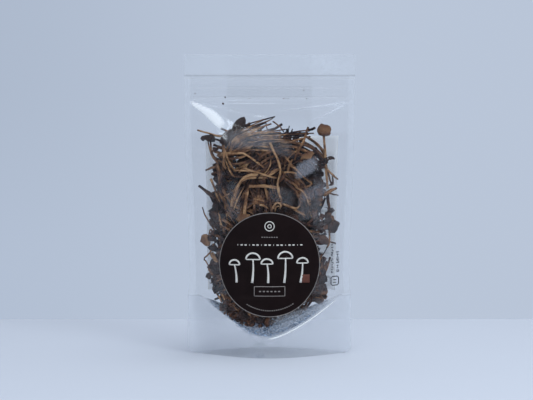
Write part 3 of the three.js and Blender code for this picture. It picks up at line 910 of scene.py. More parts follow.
# ------------------------------------------------------------------ mushrooms: where they lie
CORE_DEPTH = 6
ROOT_DEPTH = 9
TIP_DEPTH = 2
BUNDLE_COLUMNS = 3
BUNDLE_ROWS = 4
BUNDLE_SHIFT = 7
BUNDLE_STEMS = 4
BUNDLE_PITCH = 3.7
BUNDLE_FAN = 0.06
BUNDLE_BEND = 0.55
STEM_LENGTH = (26, 42)
STEM_STEPS = 3
CAP_SHARE = 0.3
CAP_RADIUS = (2.8, 4.6)
TUFT_HEIGHT = 120
TUFT_LEAN = 0.2


def draw(i, k):
    """The fixed draw between 0 and 1 that the solids use, for stem i and purpose k."""
    v = math.sin(i * 127.1 + k * 311.7 + 11.3) * 43758.5453
    return v - math.floor(v)


def pile_top(x):
    """The height of the heap's top."""
    return PILE_TOP - PILE_SHOULDER * (x / PILE_HALF_WIDTH) ** 2


def pile_floor(x):
    """The height of the heap's underside, on the gusset."""
    return gusset_seal(x) + gusset_ridge(x) + 2


def front_floor(x, depth):
    """The gusset's height at this depth behind the film, with a little room."""
    share = min(1, depth / 16)
    return gusset_seal(x) + gusset_ridge(x) * share * (2 - share) + 0.8


def in_heap(x, z, depth, facing, floor=None):
    """A place in the heap, this deep behind the film, kept off the seals and the gusset."""
    top = ROOF_TOP - (depth + 1.5) / ROOF_SLOPE
    height = clamp(z, pile_floor(x) if floor is None else floor, top)
    reach = seal_width(height) - SIDE_SEAL - 4
    across = clamp(x, -reach, reach)
    out = max(0.3, bulge(across, height) - depth)
    return Vector((across, facing * out, height))


def stem_depth(t, tip_depth):
    """Depth behind the film at a share t of a stem: out of the core, then level with the film."""
    return lerp(ROOT_DEPTH, tip_depth, min(1, 2 * t))


def solid_bundles():
    """The bundles that the heap's solid has, as (route, width, cap radius)."""
    for facing in (-1, 1):
        for row in range(BUNDLE_ROWS):
            for column in range(BUNDLE_COLUMNS):
                yield from solid_bundle(facing, column, row)


def solid_bundle(facing, column, row):
    """One bundle of the solid's, worked out as the solid works it out."""
    number = (facing + 1) * 50 + row * BUNDLE_COLUMNS + column
    x0 = (2 * (column + 0.5) / BUNDLE_COLUMNS - 1) * PILE_HALF_WIDTH
    x0 += (2 * draw(number, 7) - 1) * BUNDLE_SHIFT
    z0 = lerp(pile_floor(x0), pile_top(x0), (row + 0.5) / BUNDLE_ROWS)
    z0 += (2 * draw(number, 8) - 1) * BUNDLE_SHIFT
    turn = 2 * draw(number, 1)
    across = math.floor(turn) + lerp(-TUFT_LEAN, TUFT_LEAN, turn % 1)
    heading = (across if z0 > TUFT_HEIGHT else turn) * math.pi
    bend = lerp(-BUNDLE_BEND, BUNDLE_BEND, draw(number, 2)) + 0.011
    for k in range(BUNDLE_STEMS):
        place = k - (BUNDLE_STEMS - 1) / 2
        own = number * BUNDLE_STEMS + k
        half = lerp(*STEM_LENGTH, draw(own, 3)) / 2
        aim = heading + place * BUNDLE_FAN
        route = []
        for step in range(STEM_STEPS + 1):
            t = step / STEM_STEPS
            turned = bend * (2 * t - 1)
            x = x0 + half / bend * (math.sin(aim + turned) - math.sin(aim))
            z = z0 + half / bend * (math.cos(aim) - math.cos(aim + turned))
            x -= place * BUNDLE_PITCH * math.sin(heading)
            z += place * BUNDLE_PITCH * math.cos(heading)
            depth = stem_depth(t, TIP_DEPTH + draw(own, 4))
            route.append(in_heap(tucked(x, PILE_REACH), z, depth, facing))
        radius = lerp(*CAP_RADIUS, draw(own, 6)) if draw(own, 5) < CAP_SHARE else 0
        yield route, 1.1, radius


# Mushrooms on the front that are placed one by one: the route of the stem across and up, how deep it lies
# behind the film, its half width, its tone from dark to amber, and the cap as (kind, radius) or None.
STANDING = [
    ([(40.5, 116), (40, 122), (39.3, 130), (38.7, 140), (38, 149), (37.6, 157)], 4, 1.0, 0.8, None),
    ([(-35.5, 133), (-37.5, 137), (-39.5, 140.5), (-40.7, 144.5), (-41.3, 150)], 3.2, 0.75, 0.5, None),
    ([(-35, 129), (-36.5, 134.5), (-40, 139), (-42, 145), (-43, 150)], 3.6, 0.7, 0.62, None),
    ([(-32, 152.5), (-36.5, 153), (-41, 154.5), (-45.5, 155.5), (-50.5, 157)], 3.6, 0.72, 0.78, None),
    ([(-27, 150), (-24, 155), (-22, 158)], 4, 0.8, 0.3, None),
    ([(9, 153), (14.5, 155), (19.5, 156), (25, 156.5), (28.5, 157)], 3, 0.6, 0.5, None),
    ([(26.5, 156.7), (29.5, 157.6), (31.7, 158.6)], 3, 1.0, 0.12, None),
    ([(8, 149), (13.5, 148.5), (17, 149.5), (20, 150.5), (24, 151.5), (28.5, 152.5)], 2.4, 0.75, 0.62, None),
    (
        [
            (17.5, 136), (18.5, 140), (20.5, 144), (23, 148),
            (24.5, 152), (25.5, 156), (27, 159),
        ],
        2, 0.9, 0.6, None,
    ),
    ([(17, 150), (20, 152), (22.5, 154.5)], 3, 0.95, 0.12, None),
    ([(21, 143), (22.5, 145), (25.2, 148.2)], 2.6, 0.8, 0.02, None),
    ([(2.5, 163), (6.5, 160), (8.5, 158), (10, 155.5)], 3.4, 0.6, 0.5, None),
    ([(-16, 158), (-6, 161.5), (0, 164), (2.5, 165.4)], 3.4, 0.55, 0.5, None),
    ([(-36, 131.5), (-40, 131), (-44.5, 129)], 2.5, 1.1, 0.55, None),
    ([(-36.5, 109.5), (-39.5, 111), (-42.5, 112.5), (-46, 115.5), (-49.5, 118)], 2.4, 1.35, 0.33, None),
    ([(-38, 110), (-42, 113.5), (-48, 117)], 3.2, 0.9, 0.25, None),
    ([(-38, 86.5), (-40.5, 90.5), (-43, 94), (-45.5, 98.5), (-47, 103)], 2.4, 0.6, 0.55, None),
    ([(-38, 83), (-40, 86), (-41.2, 88), (-42, 85.5), (-42.5, 83)], 3, 0.6, 0.6, None),
    ([(-39, 78), (-40.5, 74), (-42.5, 70.5), (-46, 67), (-44.5, 65), (-42, 61)], 2.4, 0.6, 0.68, None),
    ([(39, 131), (41.5, 128), (44.5, 125.5), (48, 122.5)], 2.4, 0.75, 0.72, None),
    ([(39.5, 133), (41, 127), (42.5, 121), (44.5, 119), (44, 125)], 3.4, 0.7, 0.35, None),
    ([(38, 134), (40.5, 136), (43, 137.5)], 3.4, 0.6, 0.3, None),
    ([(38, 111), (40, 113), (43.5, 115), (47, 116.3)], 2.4, 1.25, 0.66, None),
    ([(38, 114), (41.5, 113), (45.5, 112), (48.2, 111.4)], 2.4, 0.6, 0.5, None),
    ([(40.5, 114), (41, 107), (42.5, 100)], 3, 1.1, 0.35, None),
    ([(38.5, 92), (38.5, 88.5), (38.5, 84.5), (36.5, 81)], 3, 0.6, 0.35, None),
    ([(42, 88), (42, 82.5), (42, 78.5), (40, 74.5)], 2.6, 0.75, 0.7, None),
    ([(40, 74.5), (37.5, 70.5), (34.5, 67)], 2.6, 0.4, 0.25, None),
    ([(37, 79), (42, 79), (46.5, 77.5)], 3, 0.95, 0.28, None),
    ([(36, 52), (39.5, 59.5), (41, 63.5), (42.5, 68)], 2.4, 0.85, 0.5, None),
]

# Stems that lie against the front film, in the same form.
LYING = [
    (
        [
            (0.5, 148), (2, 144), (4, 140), (6, 136), (7, 131.5),
            (7.5, 128), (6.5, 124), (5.5, 120), (6, 114),
        ],
        0.9, 1.0, 0.88, None,
    ),
    ([(6, 118), (6.5, 113), (8, 109.5), (8, 104)], 1.2, 0.8, 0.72, None),
    (
        [
            (-31, 141.5), (-23, 141), (-18, 141), (-14.5, 139),
            (-11, 136.5), (-5.5, 132.5), (-2, 130),
        ],
        0.9, 0.95, 0.92, None,
    ),
    (
        [
            (-31, 143), (-28.5, 136), (-25.5, 131), (-23, 129),
            (-18, 129), (-12.5, 129), (-3, 129),
        ],
        1.1, 0.8, 0.82, None,
    ),
    ([(-31, 137), (-28, 130), (-26, 126.5), (-24, 124.5)], 1.3, 0.7, 0.78, None),
    ([(-32, 147), (-31.5, 139), (-32, 133.5), (-30, 130)], 1.2, 1.0, 0.68, None),
    ([(-36.5, 133), (-35, 127), (-34.5, 122), (-35.5, 115), (-36, 108)], 1.6, 1.2, 0.5, None),
    ([(-33.5, 129), (-33, 121.5), (-33.5, 114), (-32, 106)], 1.6, 1.2, 0.3, None),
    (
        [
            (-41, 123), (-39.5, 119.5), (-37.5, 115),
            (-36, 110), (-34, 105.5), (-32, 100.5),
        ],
        1.5, 0.85, 0.72, None,
    ),
    (
        [
            (-26, 104), (-24, 111), (-22, 118), (-18.5, 123.5),
            (-15, 125.5), (-9, 126.5), (0.5, 125.5),
        ],
        0.9, 1.15, 0.9, None,
    ),
    (
        [
            (-27, 102), (-25.5, 110), (-23.5, 117), (-20, 121.5),
            (-15, 123.5), (-8, 124.5), (0, 123.5),
        ],
        1.3, 0.9, 0.75, None,
    ),
    ([(-18, 131), (-12.5, 129), (-7.5, 127.5), (0.5, 125), (5, 124)], 1.0, 0.75, 0.82, None),
    ([(-4, 126.5), (-1.5, 129), (0.5, 133), (0.8, 137)], 1.3, 0.6, 0.75, None),
    ([(-14, 118), (-6.5, 118.5), (0.5, 118), (6, 117)], 1.1, 1.15, 0.8, None),
    ([(-1, 127), (3, 129), (7, 130)], 1.0, 1.1, 0.85, None),
    ([(-3, 125), (2, 127), (6, 129.5)], 1.2, 0.8, 0.92, None),
    ([(8.5, 125), (12, 122.5), (17, 119.5), (20.5, 116)], 1.2, 0.9, 0.6, None),
    ([(10, 127.8), (14.5, 128), (19, 127)], 1.2, 0.8, 0.78, None),
    (
        [
            (13, 133), (18, 130), (22.5, 125.5), (27, 122),
            (29.5, 120), (26.5, 118), (22, 117),
        ],
        1.1, 0.85, 0.78, None,
    ),
    ([(8, 141), (12, 137), (15, 133), (18, 131)], 1.5, 0.8, 0.6, None),
    ([(10, 134), (14, 139), (18, 142), (20, 144)], 1.7, 0.7, 0.55, None),
    ([(12, 127), (14, 133), (16, 137)], 1.7, 0.7, 0.65, None),
    ([(-35, 101), (-35, 98), (-34.5, 95), (-33.5, 90.5), (-31, 86)], 1.0, 1.05, 0.85, None),
    ([(-31.5, 111), (-27.5, 113.5), (-24, 116)], 1.3, 0.7, 0.66, None),
    ([(-27, 101), (-25.5, 106), (-23.5, 111.5), (-19.5, 117.5)], 1.6, 0.75, 0.6, None),
    ([(-25, 101), (-23.5, 106), (-21, 111.5), (-17.5, 118)], 1.9, 0.6, 0.7, None),
    ([(-17.5, 96), (-17, 103), (-16, 110), (-15, 117)], 1.4, 1.3, 0.72, None),
    ([(-20, 95), (-19.5, 103), (-18.5, 110)], 1.6, 1.0, 0.42, None),
    ([(-7.5, 105.5), (-4, 105), (-1, 103)], 1.2, 0.8, 0.85, None),
    ([(-3, 117), (-2, 112.5), (-1, 108)], 1.3, 0.75, 0.8, None),
    ([(1.5, 101), (2.5, 104), (5, 107), (8, 105.5), (7, 102.5)], 0.9, 0.8, 0.82, None),
    ([(3.5, 101), (4.5, 104), (7, 104.5)], 1.1, 0.7, 0.7, None),
    ([(9, 106), (14.5, 104), (18, 103), (20, 104), (21.5, 106)], 1.0, 0.75, 0.76, None),
    ([(17, 102.5), (22, 99.5), (25, 98)], 1.2, 0.75, 0.72, None),
    ([(18, 118), (22.5, 115), (25.5, 111), (27, 106.5), (28.5, 103.5)], 1.5, 0.8, 0.66, None),
    ([(30, 116.5), (27.5, 113), (25, 110)], 1.5, 0.7, 0.6, None),
    ([(24.5, 90.5), (28.5, 94), (31, 98), (33, 102)], 1.5, 1.0, 0.5, None),
    ([(27, 90), (31.5, 93), (34, 97)], 1.9, 0.9, 0.35, None),
    ([(-40.5, 71), (-37.5, 66.5), (-34.5, 62)], 1.2, 1.5, 0.9, None),
    ([(-43, 62), (-41, 58), (-37, 53), (-30.5, 47)], 1.2, 1.0, 0.55, None),
    ([(-41.5, 60), (-38, 52), (-33, 46)], 1.8, 0.8, 0.4, None),
    ([(-37, 43), (-35, 40.5), (-33.5, 37)], 1.0, 0.7, 0.85, None),
    ([(-34, 44), (-32, 41), (-31, 38)], 1.0, 0.6, 0.9, None),
    ([(-35.5, 45), (-33, 42.5), (-30, 42)], 1.4, 0.9, 0.6, None),
]

# Loose caps, most of them round the edge of the heap: across, up, depth, kind, radius, the way the crown
# points (across, back, up), and the tone.
LOOSE_CAPS = [
    (38, 154.2, 3.4, "dome", 5.2, (0.05, 0.12, 0.98), 0.52),
    (-43, 151, 3.2, "flat", 6.6, (0.05, 0.05, 1), 0.0),
    (-37.5, 144.5, 3, "fold", 2.4, (0.3, -0.2, 0.8), 0.2),
    (-30.5, 150, 3, "shut", 6.8, (0.5, -0.1, 0.8), 0.12),
    (-22, 158.5, 3.4, "shut", 6.8, (0.5, -0.1, 0.85), 0.12),
    (26.2, 139.2, 2.4, "flat", 6.0, (-0.42, -0.1, 0.9), 0.62),
    (31.2, 142, 2.4, "button", 2.1, (0.4, -0.3, 0.8), 0.0),
    (43.2, 137.6, 3, "flat", 2.9, (0.2, -0.2, 0.9), 0.1),
    (30, 125, 2.6, "fold", 5.4, (0.3, -0.5, 0.7), 0.0),
    (34, 122, 3, "fold", 4.2, (0.6, -0.3, 0.5), 0.05),
    (43.5, 119.5, 3, "fold", 2.6, (0.6, -0.2, -0.5), 0.15),
    (-38.5, 102.5, 2, "fold", 4.8, (-0.7, -0.5, 0.4), 0.0),
    (-39, 95.5, 2, "shut", 4.2, (-0.4, -0.2, 0.9), 0.05),
    (-44.2, 80, 2.4, "button", 4.9, (-0.75, -0.65, -0.1), 0.75),
    (-40.5, 74, 2.6, "fold", 3.4, (-0.5, -0.6, -0.3), 0.05),
    (-18.5, 97.5, 1.4, "fold", 5.6, (-0.3, -0.5, 0.9), 0.7),
    (43, 101, 2.6, "fold", 4.3, (0.7, -0.5, 0.2), 0.12),
    (43.6, 95.5, 2.4, "button", 2.0, (0.6, -0.5, 0.4), 0.6),
    (44, 90, 2.4, "button", 5.0, (0.6, -0.65, -0.4), 0.1),
    (36, 88.7, 2.4, "fold", 3.2, (-0.2, -0.7, 0.4), 0.15),
    (37.5, 78.5, 2.4, "fold", 4.7, (0.1, -0.6, -0.6), 0.35),
    (-38.5, 61.5, 1.6, "fold", 5.8, (-0.5, -0.7, 0.3), 0.08),
    (-36, 53, 1.6, "fold", 4.6, (-0.3, -0.8, -0.2), 0.12),
    (-42, 55, 2.4, "button", 3.0, (-0.8, -0.4, 0.0), 0.05),
    (-38.5, 49.5, 2, "fold", 3.0, (-0.7, -0.5, -0.3), 0.0),
    (-33.5, 46.5, 1.6, "fold", 4.2, (-0.3, -0.7, -0.5), 0.0),
    (-29, 35.5, 1.8, "fold", 3.4, (-0.4, -0.5, -0.6), 0.3),
    (-31.5, 39.5, 1.8, "fold", 2.8, (-0.6, -0.5, -0.4), 0.5),
    (-25.5, 31.5, 2, "fold", 3.6, (-0.2, -0.5, -0.7), 0.1),
    (-20.5, 28.5, 2.2, "fold", 3.8, (0.0, -0.6, -0.7), 0.05),
    (35, 63.5, 1.8, "fold", 3.0, (0.5, -0.6, 0.6), 0.8),
    (36.5, 58.5, 1.8, "fold", 3.8, (0.6, -0.7, 0.2), 0.45),
    (36.5, 53.5, 1.8, "button", 4.0, (0.6, -0.6, -0.1), 0.0),
    (35, 47.5, 1.8, "fold", 4.4, (0.5, -0.6, -0.4), 0.2),
    (31.5, 41.5, 2, "fold", 4.2, (0.2, -0.6, -0.7), 0.08),
    (39, 40.5, 2.4, "button", 1.8, (0.7, -0.4, -0.4), 0.8),
]


# Parallel stems that arch together from one place to another: start, middle, end, how many, their
# distance, the depth, the half width and the tone.
FANS = [
    ((-32, 139), (-18, 156), (0, 162), 6, 1.3, 2.0, 0.55, 0.62),
    ((-31, 140), (-16, 153), (6, 157), 7, 1.3, 1.5, 0.62, 0.6),
    ((-24, 146), (-4, 151.5), (27, 153), 5, 1.5, 2.4, 0.6, 0.45),
    ((-29, 141), (-12, 147.5), (10, 146), 5, 2.0, 1.6, 0.7, 0.5),
    ((-20, 150), (-4, 153), (10, 153), 5, 1.6, 1.5, 0.5, 0.72),
    ((-34, 118), (-30, 104), (-22, 92), 4, 2.0, 2.6, 0.8, 0.45),
    ((10, 130), (20, 122), (31, 112), 4, 2.0, 2.6, 0.75, 0.45),
    ((-10, 112), (0, 108), (12, 110), 3, 2.2, 2.6, 0.8, 0.4),
]

# Clusters of dark shrivelled caps at the sides: across, up, half their width and height, how many, tone.
CLUSTERS = [
    (35, 52, 3.2, 12, 20, 0.15),
    (33, 44, 3, 6, 9, 0.3),
    (35, 111, 3, 5, 5, 0.1),
    (37.5, 95, 6.5, 6, 12, 0.2),
    (-36, 92, 4, 11, 16, 0.05),
    (-36.5, 62, 4, 15, 22, 0.12),
    (-27, 38, 5, 5, 12, 0.2),
    (-17, 29.5, 7, 2.5, 10, 0.12),
    (-8, 26.5, 5, 2, 5, 0.1),
]


def cluster(x, z, wide, tall, count, tone):
    """The caps of one cluster, in the form of LOOSE_CAPS."""
    for _ in range(count):
        yield (
            x + rng.uniform(-wide, wide),
            z + rng.uniform(-tall, tall),
            rng.uniform(1.6, 4.5),
            rng.choice(("fold", "fold", "button", "shut")),
            rng.uniform(2, 4.2),
            (rng.uniform(-1, 1), rng.uniform(-1, 0), rng.uniform(-0.6, 1)),
            clamp(tone + rng.uniform(-0.2, 0.35), 0, 1),
        )


def fan(start, middle, end, count, spread, depth, half, tone):
    """The stems of one fan, in the form of STANDING."""
    for i in range(count):
        shift = (i - (count - 1) / 2) * spread
        route = [
            (start[0] + rng.uniform(-3, 6), start[1] + 0.5 * shift + rng.uniform(-1, 2)),
            (lerp(start[0], middle[0], 0.5) - 0.4 * shift, lerp(start[1], middle[1], 0.62) + shift),
            (middle[0], middle[1] + shift + rng.uniform(-1, 1)),
            (end[0] + rng.uniform(-9, 5), end[1] + 1.25 * shift + rng.uniform(-2, 2)),
        ]
        yield route, depth + 0.4 * (i % 3), half * rng.uniform(0.7, 1.4), tone + rng.uniform(-0.3, 0.25), None


def pile_reach(x, z):
    """How far out the loose stems lie, by height: narrower at the foot, the top and the right waist."""
    reach = lerp(20, 38, smoothstep(z, 22, 52)) - 9 * smoothstep(z, 135, 158)
    return reach - (5 * hill(z, 82, 12) if x > 0 else 0)


def loose_top(x):
    """The height that the loose bundles keep under: highest left of the middle."""
    return lerp(150, 136, smoothstep(x, -2, 34)) - 7 * hill(x, -38, 12)


def tucked(x, reach):
    """Turns back what would run out past the heap's side."""
    return x / (1 + (x / reach) ** 6) ** (1 / 6)


def wild_bundles(count, facing, depths, widths, tones, caps, up, sides):
    """Bundles strewn over a face of the heap, as (route, half width, tone, cap)."""
    for _ in range(count):
        x0 = rng.uniform(*sides)
        z0 = lerp(pile_floor(x0) + 3, loose_top(x0), rng.uniform(*up))
        heading = rng.uniform(0, 2 * math.pi)
        if z0 > TUFT_HEIGHT + 20:
            heading = rng.uniform(-0.2, 1.2) * math.pi
        bend = rng.choice((-1, 1)) * rng.uniform(0.15, 1.1)
        depth = rng.uniform(*depths)
        tone = rng.uniform(*tones)
        for k in range(rng.randint(2, 5)):
            aside = (k - 2) * rng.uniform(1, 2.8)
            half = rng.uniform(7, 21)
            aim = heading + rng.uniform(-0.5, 0.5)
            route = []
            for step in range(6):
                t = step / 5
                turned = bend * (2 * t - 1)
                x = x0 + half / bend * (math.sin(aim + turned) - math.sin(aim)) - aside * math.sin(aim)
                z = z0 + half / bend * (math.cos(aim) - math.cos(aim + turned)) + aside * math.cos(aim)
                dip = 2.6 * abs(2 * t - 1) ** 2
                route.append(in_heap(tucked(x, pile_reach(x, z)), z, depth + dip, facing))
            cap = None
            if rng.random() < caps:
                cap = (rng.choice(("button", "fold", "fold", "shut")), rng.uniform(2.4, 4.8))
            half = lerp(*widths, rng.random() ** 2)
            yield route, half, clamp(tone + rng.uniform(-0.2, 0.2), 0.0, 0.95), cap


# Bundles strewn over the heap, in the order of wild_bundles: how many, the face, depths, half widths, tones,
# the share with a cap, heights as shares of the heap's, and the places across. All over the back and the
# front, then at the foot on the left, then along the left side and the right.
STREWN = [
    (40, 1, (1.6, 3.4), (0.45, 1.15), (0.0, 0.66), 0.2, (0, 1), (-34, 34)),
    (40, 1, (3, 5.5), (0.45, 1.15), (0.0, 0.66), 0.2, (0, 1), (-34, 34)),
    (72, -1, (3, 5.8), (0.45, 1.15), (0.0, 0.66), 0.2, (0, 1), (-34, 34)),
    (14, -1, (1.5, 5), (0.45, 1.2), (0.0, 0.6), 0.5, (-0.02, 0.12), (-32, -10)),
    (14, 1, (1.5, 5), (0.45, 1.2), (0.0, 0.6), 0.5, (-0.02, 0.12), (-32, -10)),
    (11, -1, (6, 10), (0.45, 1.2), (0.0, 0.7), 0.3, (0, 0.97), (-28, -37)),
    (11, 1, (1.5, 5), (0.45, 1.2), (0.0, 0.7), 0.3, (0, 0.97), (-28, -37)),
    (11, 1, (5, 9), (0.45, 1.2), (0.0, 0.7), 0.3, (0, 0.97), (-28, -37)),
    (11, -1, (6, 10), (0.45, 1.2), (0.0, 0.7), 0.3, (0, 0.76), (28, 37)),
    (11, 1, (1.5, 5), (0.45, 1.2), (0.0, 0.7), 0.3, (0, 0.76), (28, 37)),
    (11, 1, (5, 9), (0.45, 1.2), (0.0, 0.7), 0.3, (0, 0.76), (28, 37)),
]
STREWN_KINK = 1.2  # how far a strewn stem is kinked off its route


# ------------------------------------------------------------------ mushrooms: how they are made
def on_route(route, t):
    """Place and direction at a share t of a smooth curve through the route."""
    spans = len(route) - 1
    at = min(spans - 1, int(t * spans))
    s = t * spans - at
    p1, p2 = route[at], route[at + 1]
    p0 = route[at - 1] if at else p1 * 2 - p2
    p3 = route[at + 2] if at + 2 <= spans else p2 * 2 - p1
    a = p1 * 2
    b = p2 - p0
    c = p0 * 2 - p1 * 5 + p2 * 4 - p3
    d = p1 * 3 - p0 - p2 * 3 + p3
    place = (a + b * s + c * s * s + d * s**3) / 2
    along = (b + c * 2 * s + d * 3 * s * s) / 2
    return place, along.normalized()


def template(make):
    """A mesh to copy from, built by make(bmesh)."""
    bm = bmesh.new()
    make(bm)
    mesh = bpy.data.meshes.new("template")
    bm.to_mesh(mesh)
    bm.free()
    return mesh


STEM_SIDES = 5
STEM_CUTS = 8


def stem_blank(bm):
    """A straight unit tube with rings along it, from Z = 0 to 1."""
    bmesh.ops.create_cone(bm, cap_ends=True, segments=STEM_SIDES, radius1=1, radius2=1, depth=1)
    bmesh.ops.translate(bm, verts=bm.verts, vec=(0, 0, 0.5))
    lengthwise = [e for e in bm.edges if abs(e.verts[0].co.z - e.verts[1].co.z) > 0.5]
    bmesh.ops.subdivide_edges(bm, edges=lengthwise, cuts=STEM_CUTS)


# Sections of a cap from its underside to its crown, as (out, up) in shares of its radius.
CAP_PROFILES = {
    "button": [(0, -0.02), (0.5, 0.06), (0.88, -0.16), (1.0, 0.12), (0.86, 0.5), (0.5, 0.74), (0, 0.82)],
    "dome": [
        (0, -0.15), (0.4, -0.25), (0.72, -0.12), (0.96, 0.25),
        (0.95, 0.62), (0.76, 1.0), (0.44, 1.3), (0, 1.38),
    ],
    "flat": [(0, 0.02), (0.55, 0.06), (0.95, -0.1), (1.0, 0.06), (0.75, 0.28), (0.4, 0.4), (0, 0.43)],
    "open": [(0, 0.0), (0.5, 0.03), (0.92, -0.04), (1.0, 0.08), (0.8, 0.3), (0.4, 0.42), (0, 0.46)],
    "shut": [(0, -0.1), (0.2, -0.1), (0.46, -0.5), (0.6, 0.0), (0.54, 0.6), (0.32, 1.1), (0, 1.3)],
    "fold": [(0, 0.0), (0.5, 0.02), (0.96, -0.02), (1.0, 0.08), (0.7, 0.2), (0.4, 0.26), (0, 0.28)],
}
CAP_STEPS = 10


def cap_blank(kind):
    """What builds a unit cap of this kind."""

    def make(bm):
        profile = [bm.verts.new((r, 0, z)) for r, z in CAP_PROFILES[kind]]
        edges = [bm.edges.new(pair) for pair in zip(profile, profile[1:])]
        bmesh.ops.spin(
            bm,
            geom=profile + edges,
            cent=(0, 0, 0),
            axis=(0, 0, 1),
            angle=2 * math.pi,
            steps=CAP_STEPS,
            use_merge=True,
        )
        bmesh.ops.remove_doubles(bm, verts=bm.verts, dist=1e-4)
        bmesh.ops.recalc_face_normals(bm, faces=bm.faces)

    return make


def kept_in(point):
    """The point, held back behind the film that would press on it."""
    facing = -1 if point.y < 0 else 1
    limit = inner_face(point.x, point.z, facing) - 0.25
    point.y = clamp(point.y, -limit, limit)
    return point


class Heap:
    """Collects stems and caps, each copied from a blank and bent into place."""

    def __init__(self):
        self.stems = bmesh.new()
        self.caps = bmesh.new()
        self.stem_growth = self.stems.verts.layers.float_color.new("growth")
        self.cap_growth = self.caps.verts.layers.float_color.new("growth")
        self.stem_blank = template(stem_blank)
        self.cap_blanks = {kind: template(cap_blank(kind)) for kind in CAP_PROFILES}

    @staticmethod
    def copy(bm, blank):
        """Adds a blank to the bmesh and gives its new vertices."""
        start = len(bm.verts)
        bm.from_mesh(blank)
        bm.verts.ensure_lookup_table()
        return bm.verts[start:]

    def stem(self, route, half, tone, kink=0.25):
        """A flattened, knotty stem, kinked this far off its route. The route is in millimetres."""
        roll = rng.uniform(0, math.pi)
        flat = rng.uniform(0.5, 0.85)
        knot = rng.uniform(0, 100)
        for vert in self.copy(self.stems, self.stem_blank):
            x, y, t = vert.co
            place, along = on_route(route, clamp(t, 0, 1))
            place += noise.noise_vector(Vector((knot, 4.5 * t, 0))) * kink
            side = along.cross(Vector((math.cos(roll), -1.2, math.sin(roll)))).normalized()
            up = side.cross(along)
            thick = half * (1 + 0.35 * wander(knot, t * 9, 0, 1)) * (1.1 - 0.25 * t)
            vert.co = kept_in(place + side * x * thick + up * y * thick * flat) * MM
            vert[self.stem_growth] = (tone, t, 0.5 + 0.5 * x, 1)

    def cap(self, place, crown, kind, radius, tone):
        """A shrivelled cap; place is the middle of its underside, in millimetres."""
        turn = crown.to_track_quat("Z", "Y").to_matrix() @ Matrix.Rotation(rng.uniform(0, 6.3), 3, "Z")
        squash = rng.uniform(0.62, 0.95)
        seed = rng.uniform(0, 100)
        curl = rng.uniform(0.5, 1.1) if kind == "fold" else rng.uniform(0, 0.25)
        for vert in self.copy(self.caps, self.cap_blanks[kind]):
            x, y, z = vert.co
            out = math.hypot(x, y)
            rim = smoothstep(out, 0.55, 1) if kind != "shut" else smoothstep(-z, -0.2, 0.4)
            around = math.atan2(y, x)
            wave = 0.16 * math.sin(3 * around + seed) + 0.1 * math.sin(5 * around + 2 * seed)
            if kind == "dome":
                squash = 0.97
                wave = 0.3 * wave
            wrinkle = 1 + 0.2 * wander(x + seed, y, z, 0.55) + 0.5 * wave * out
            shape = Vector((x * wrinkle, y * squash * wrinkle, z * wrinkle - curl * y * y + wave * out * out))
            vert.co = kept_in(place + turn @ (shape * radius)) * MM
            vert[self.cap_growth] = (tone, rim, 0, 1)

    def mushroom(self, route, half, tone, cap, kink=0.25):
        """A stem, and its cap where it has one as (kind, radius)."""
        self.stem(route, half, tone, kink)
        if cap:
            self.cap(*on_route(route, 1), *cap, rng.uniform(0.0, 0.4))

    def by_hand(self, entries):
        """Mushrooms given by routes across and up on the front of the heap."""
        for route, depth, half, tone, cap in entries:
            last = len(route) - 1
            points = []
            for i, (x, z) in enumerate(route):
                rise = 1.6 * (1 - min(1, 3 * i / last, 3 - 3 * i / last))
                points.append(in_heap(x, z, depth + half + rise, -1, front_floor(x, depth)))
            self.mushroom(points, half, tone, cap)

    def loose_caps(self, entries):
        """Caps without a stem, in the form of LOOSE_CAPS."""
        for x, z, depth, kind, radius, crown, tone in entries:
            place = in_heap(x, z, depth + 0.3 * radius, -1, front_floor(x, depth))
            self.cap(place, Vector(crown), kind, radius, tone)


HEART_HALF_WIDTH = 25.5
HEART_HEADROOM = 7
HEART_NEARER = 1  # how much nearer to the film it comes than the solid's core


def heart(finish):
    """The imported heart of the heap, lumpy and set back from the film."""
    bm = bmesh.new()
    bmesh.ops.create_uvsphere(bm, u_segments=72, v_segments=60, radius=1)
    for vert in bm.verts:
        sx, sy, sz = vert.co
        up = (sz + 1) / 2
        level = math.sqrt(max(0, 1 - sz**6))
        ring = math.hypot(sx, sy) or 1
        x = sx / ring * HEART_HALF_WIDTH * level
        top = pile_top(x) - HEART_HEADROOM - 9 * smoothstep(x, 8, 26)
        z = lerp(pile_floor(x) + 0.5, top, up)
        lump = 1.6 * wander(x, 9 * sy, z, 7) + 0.9 * wander(x, 5 * sy, z, 3)
        thick = max(0.6, bulge(x, z) - CORE_DEPTH + HEART_NEARER + lump) * abs(sy / ring) ** 0.5 * level
        vert.co = metres(x + lump * 1.3, math.copysign(thick, sy), z + lump)
    return piece("heap_heart", bm, finish, ["enoki_heap"])


def crumbs(finish, spots):
    """Broken bits of stem and cap, as (x, z, depth, size)."""
    bm = bmesh.new()
    layer = bm.verts.layers.float_color.new("growth")
    for x, z, depth, size in spots:
        made = bmesh.ops.create_icosphere(bm, subdivisions=1, radius=1)["verts"]
        turn = Matrix.Rotation(rng.uniform(0, 6.3), 3, Vector((rng.random(), rng.random(), 0.3)))
        stretch = Vector((size, size * rng.uniform(0.4, 0.9), size * rng.uniform(0.5, 1.8)))
        tone = 0.6 * rng.random() ** 1.6
        y = -max(0.4, inner_face(x, z, -1) - depth)
        for vert in made:
            vert.co = metres(x, y, z) + turn @ (vert.co * stretch) * MM
            vert[layer] = (tone, 0.4, 0, 1)
    return piece("crumbs", bm, finish)


# ------------------------------------------------------------------ the pouch is made
seams = [
    (HEIGHT - TOP_SEAL + 0.1, 1.0, 0.036, 0.3),
    (HEIGHT - TOP_SEAL - 1.8, 0.7, 0.04, 0.95),
]
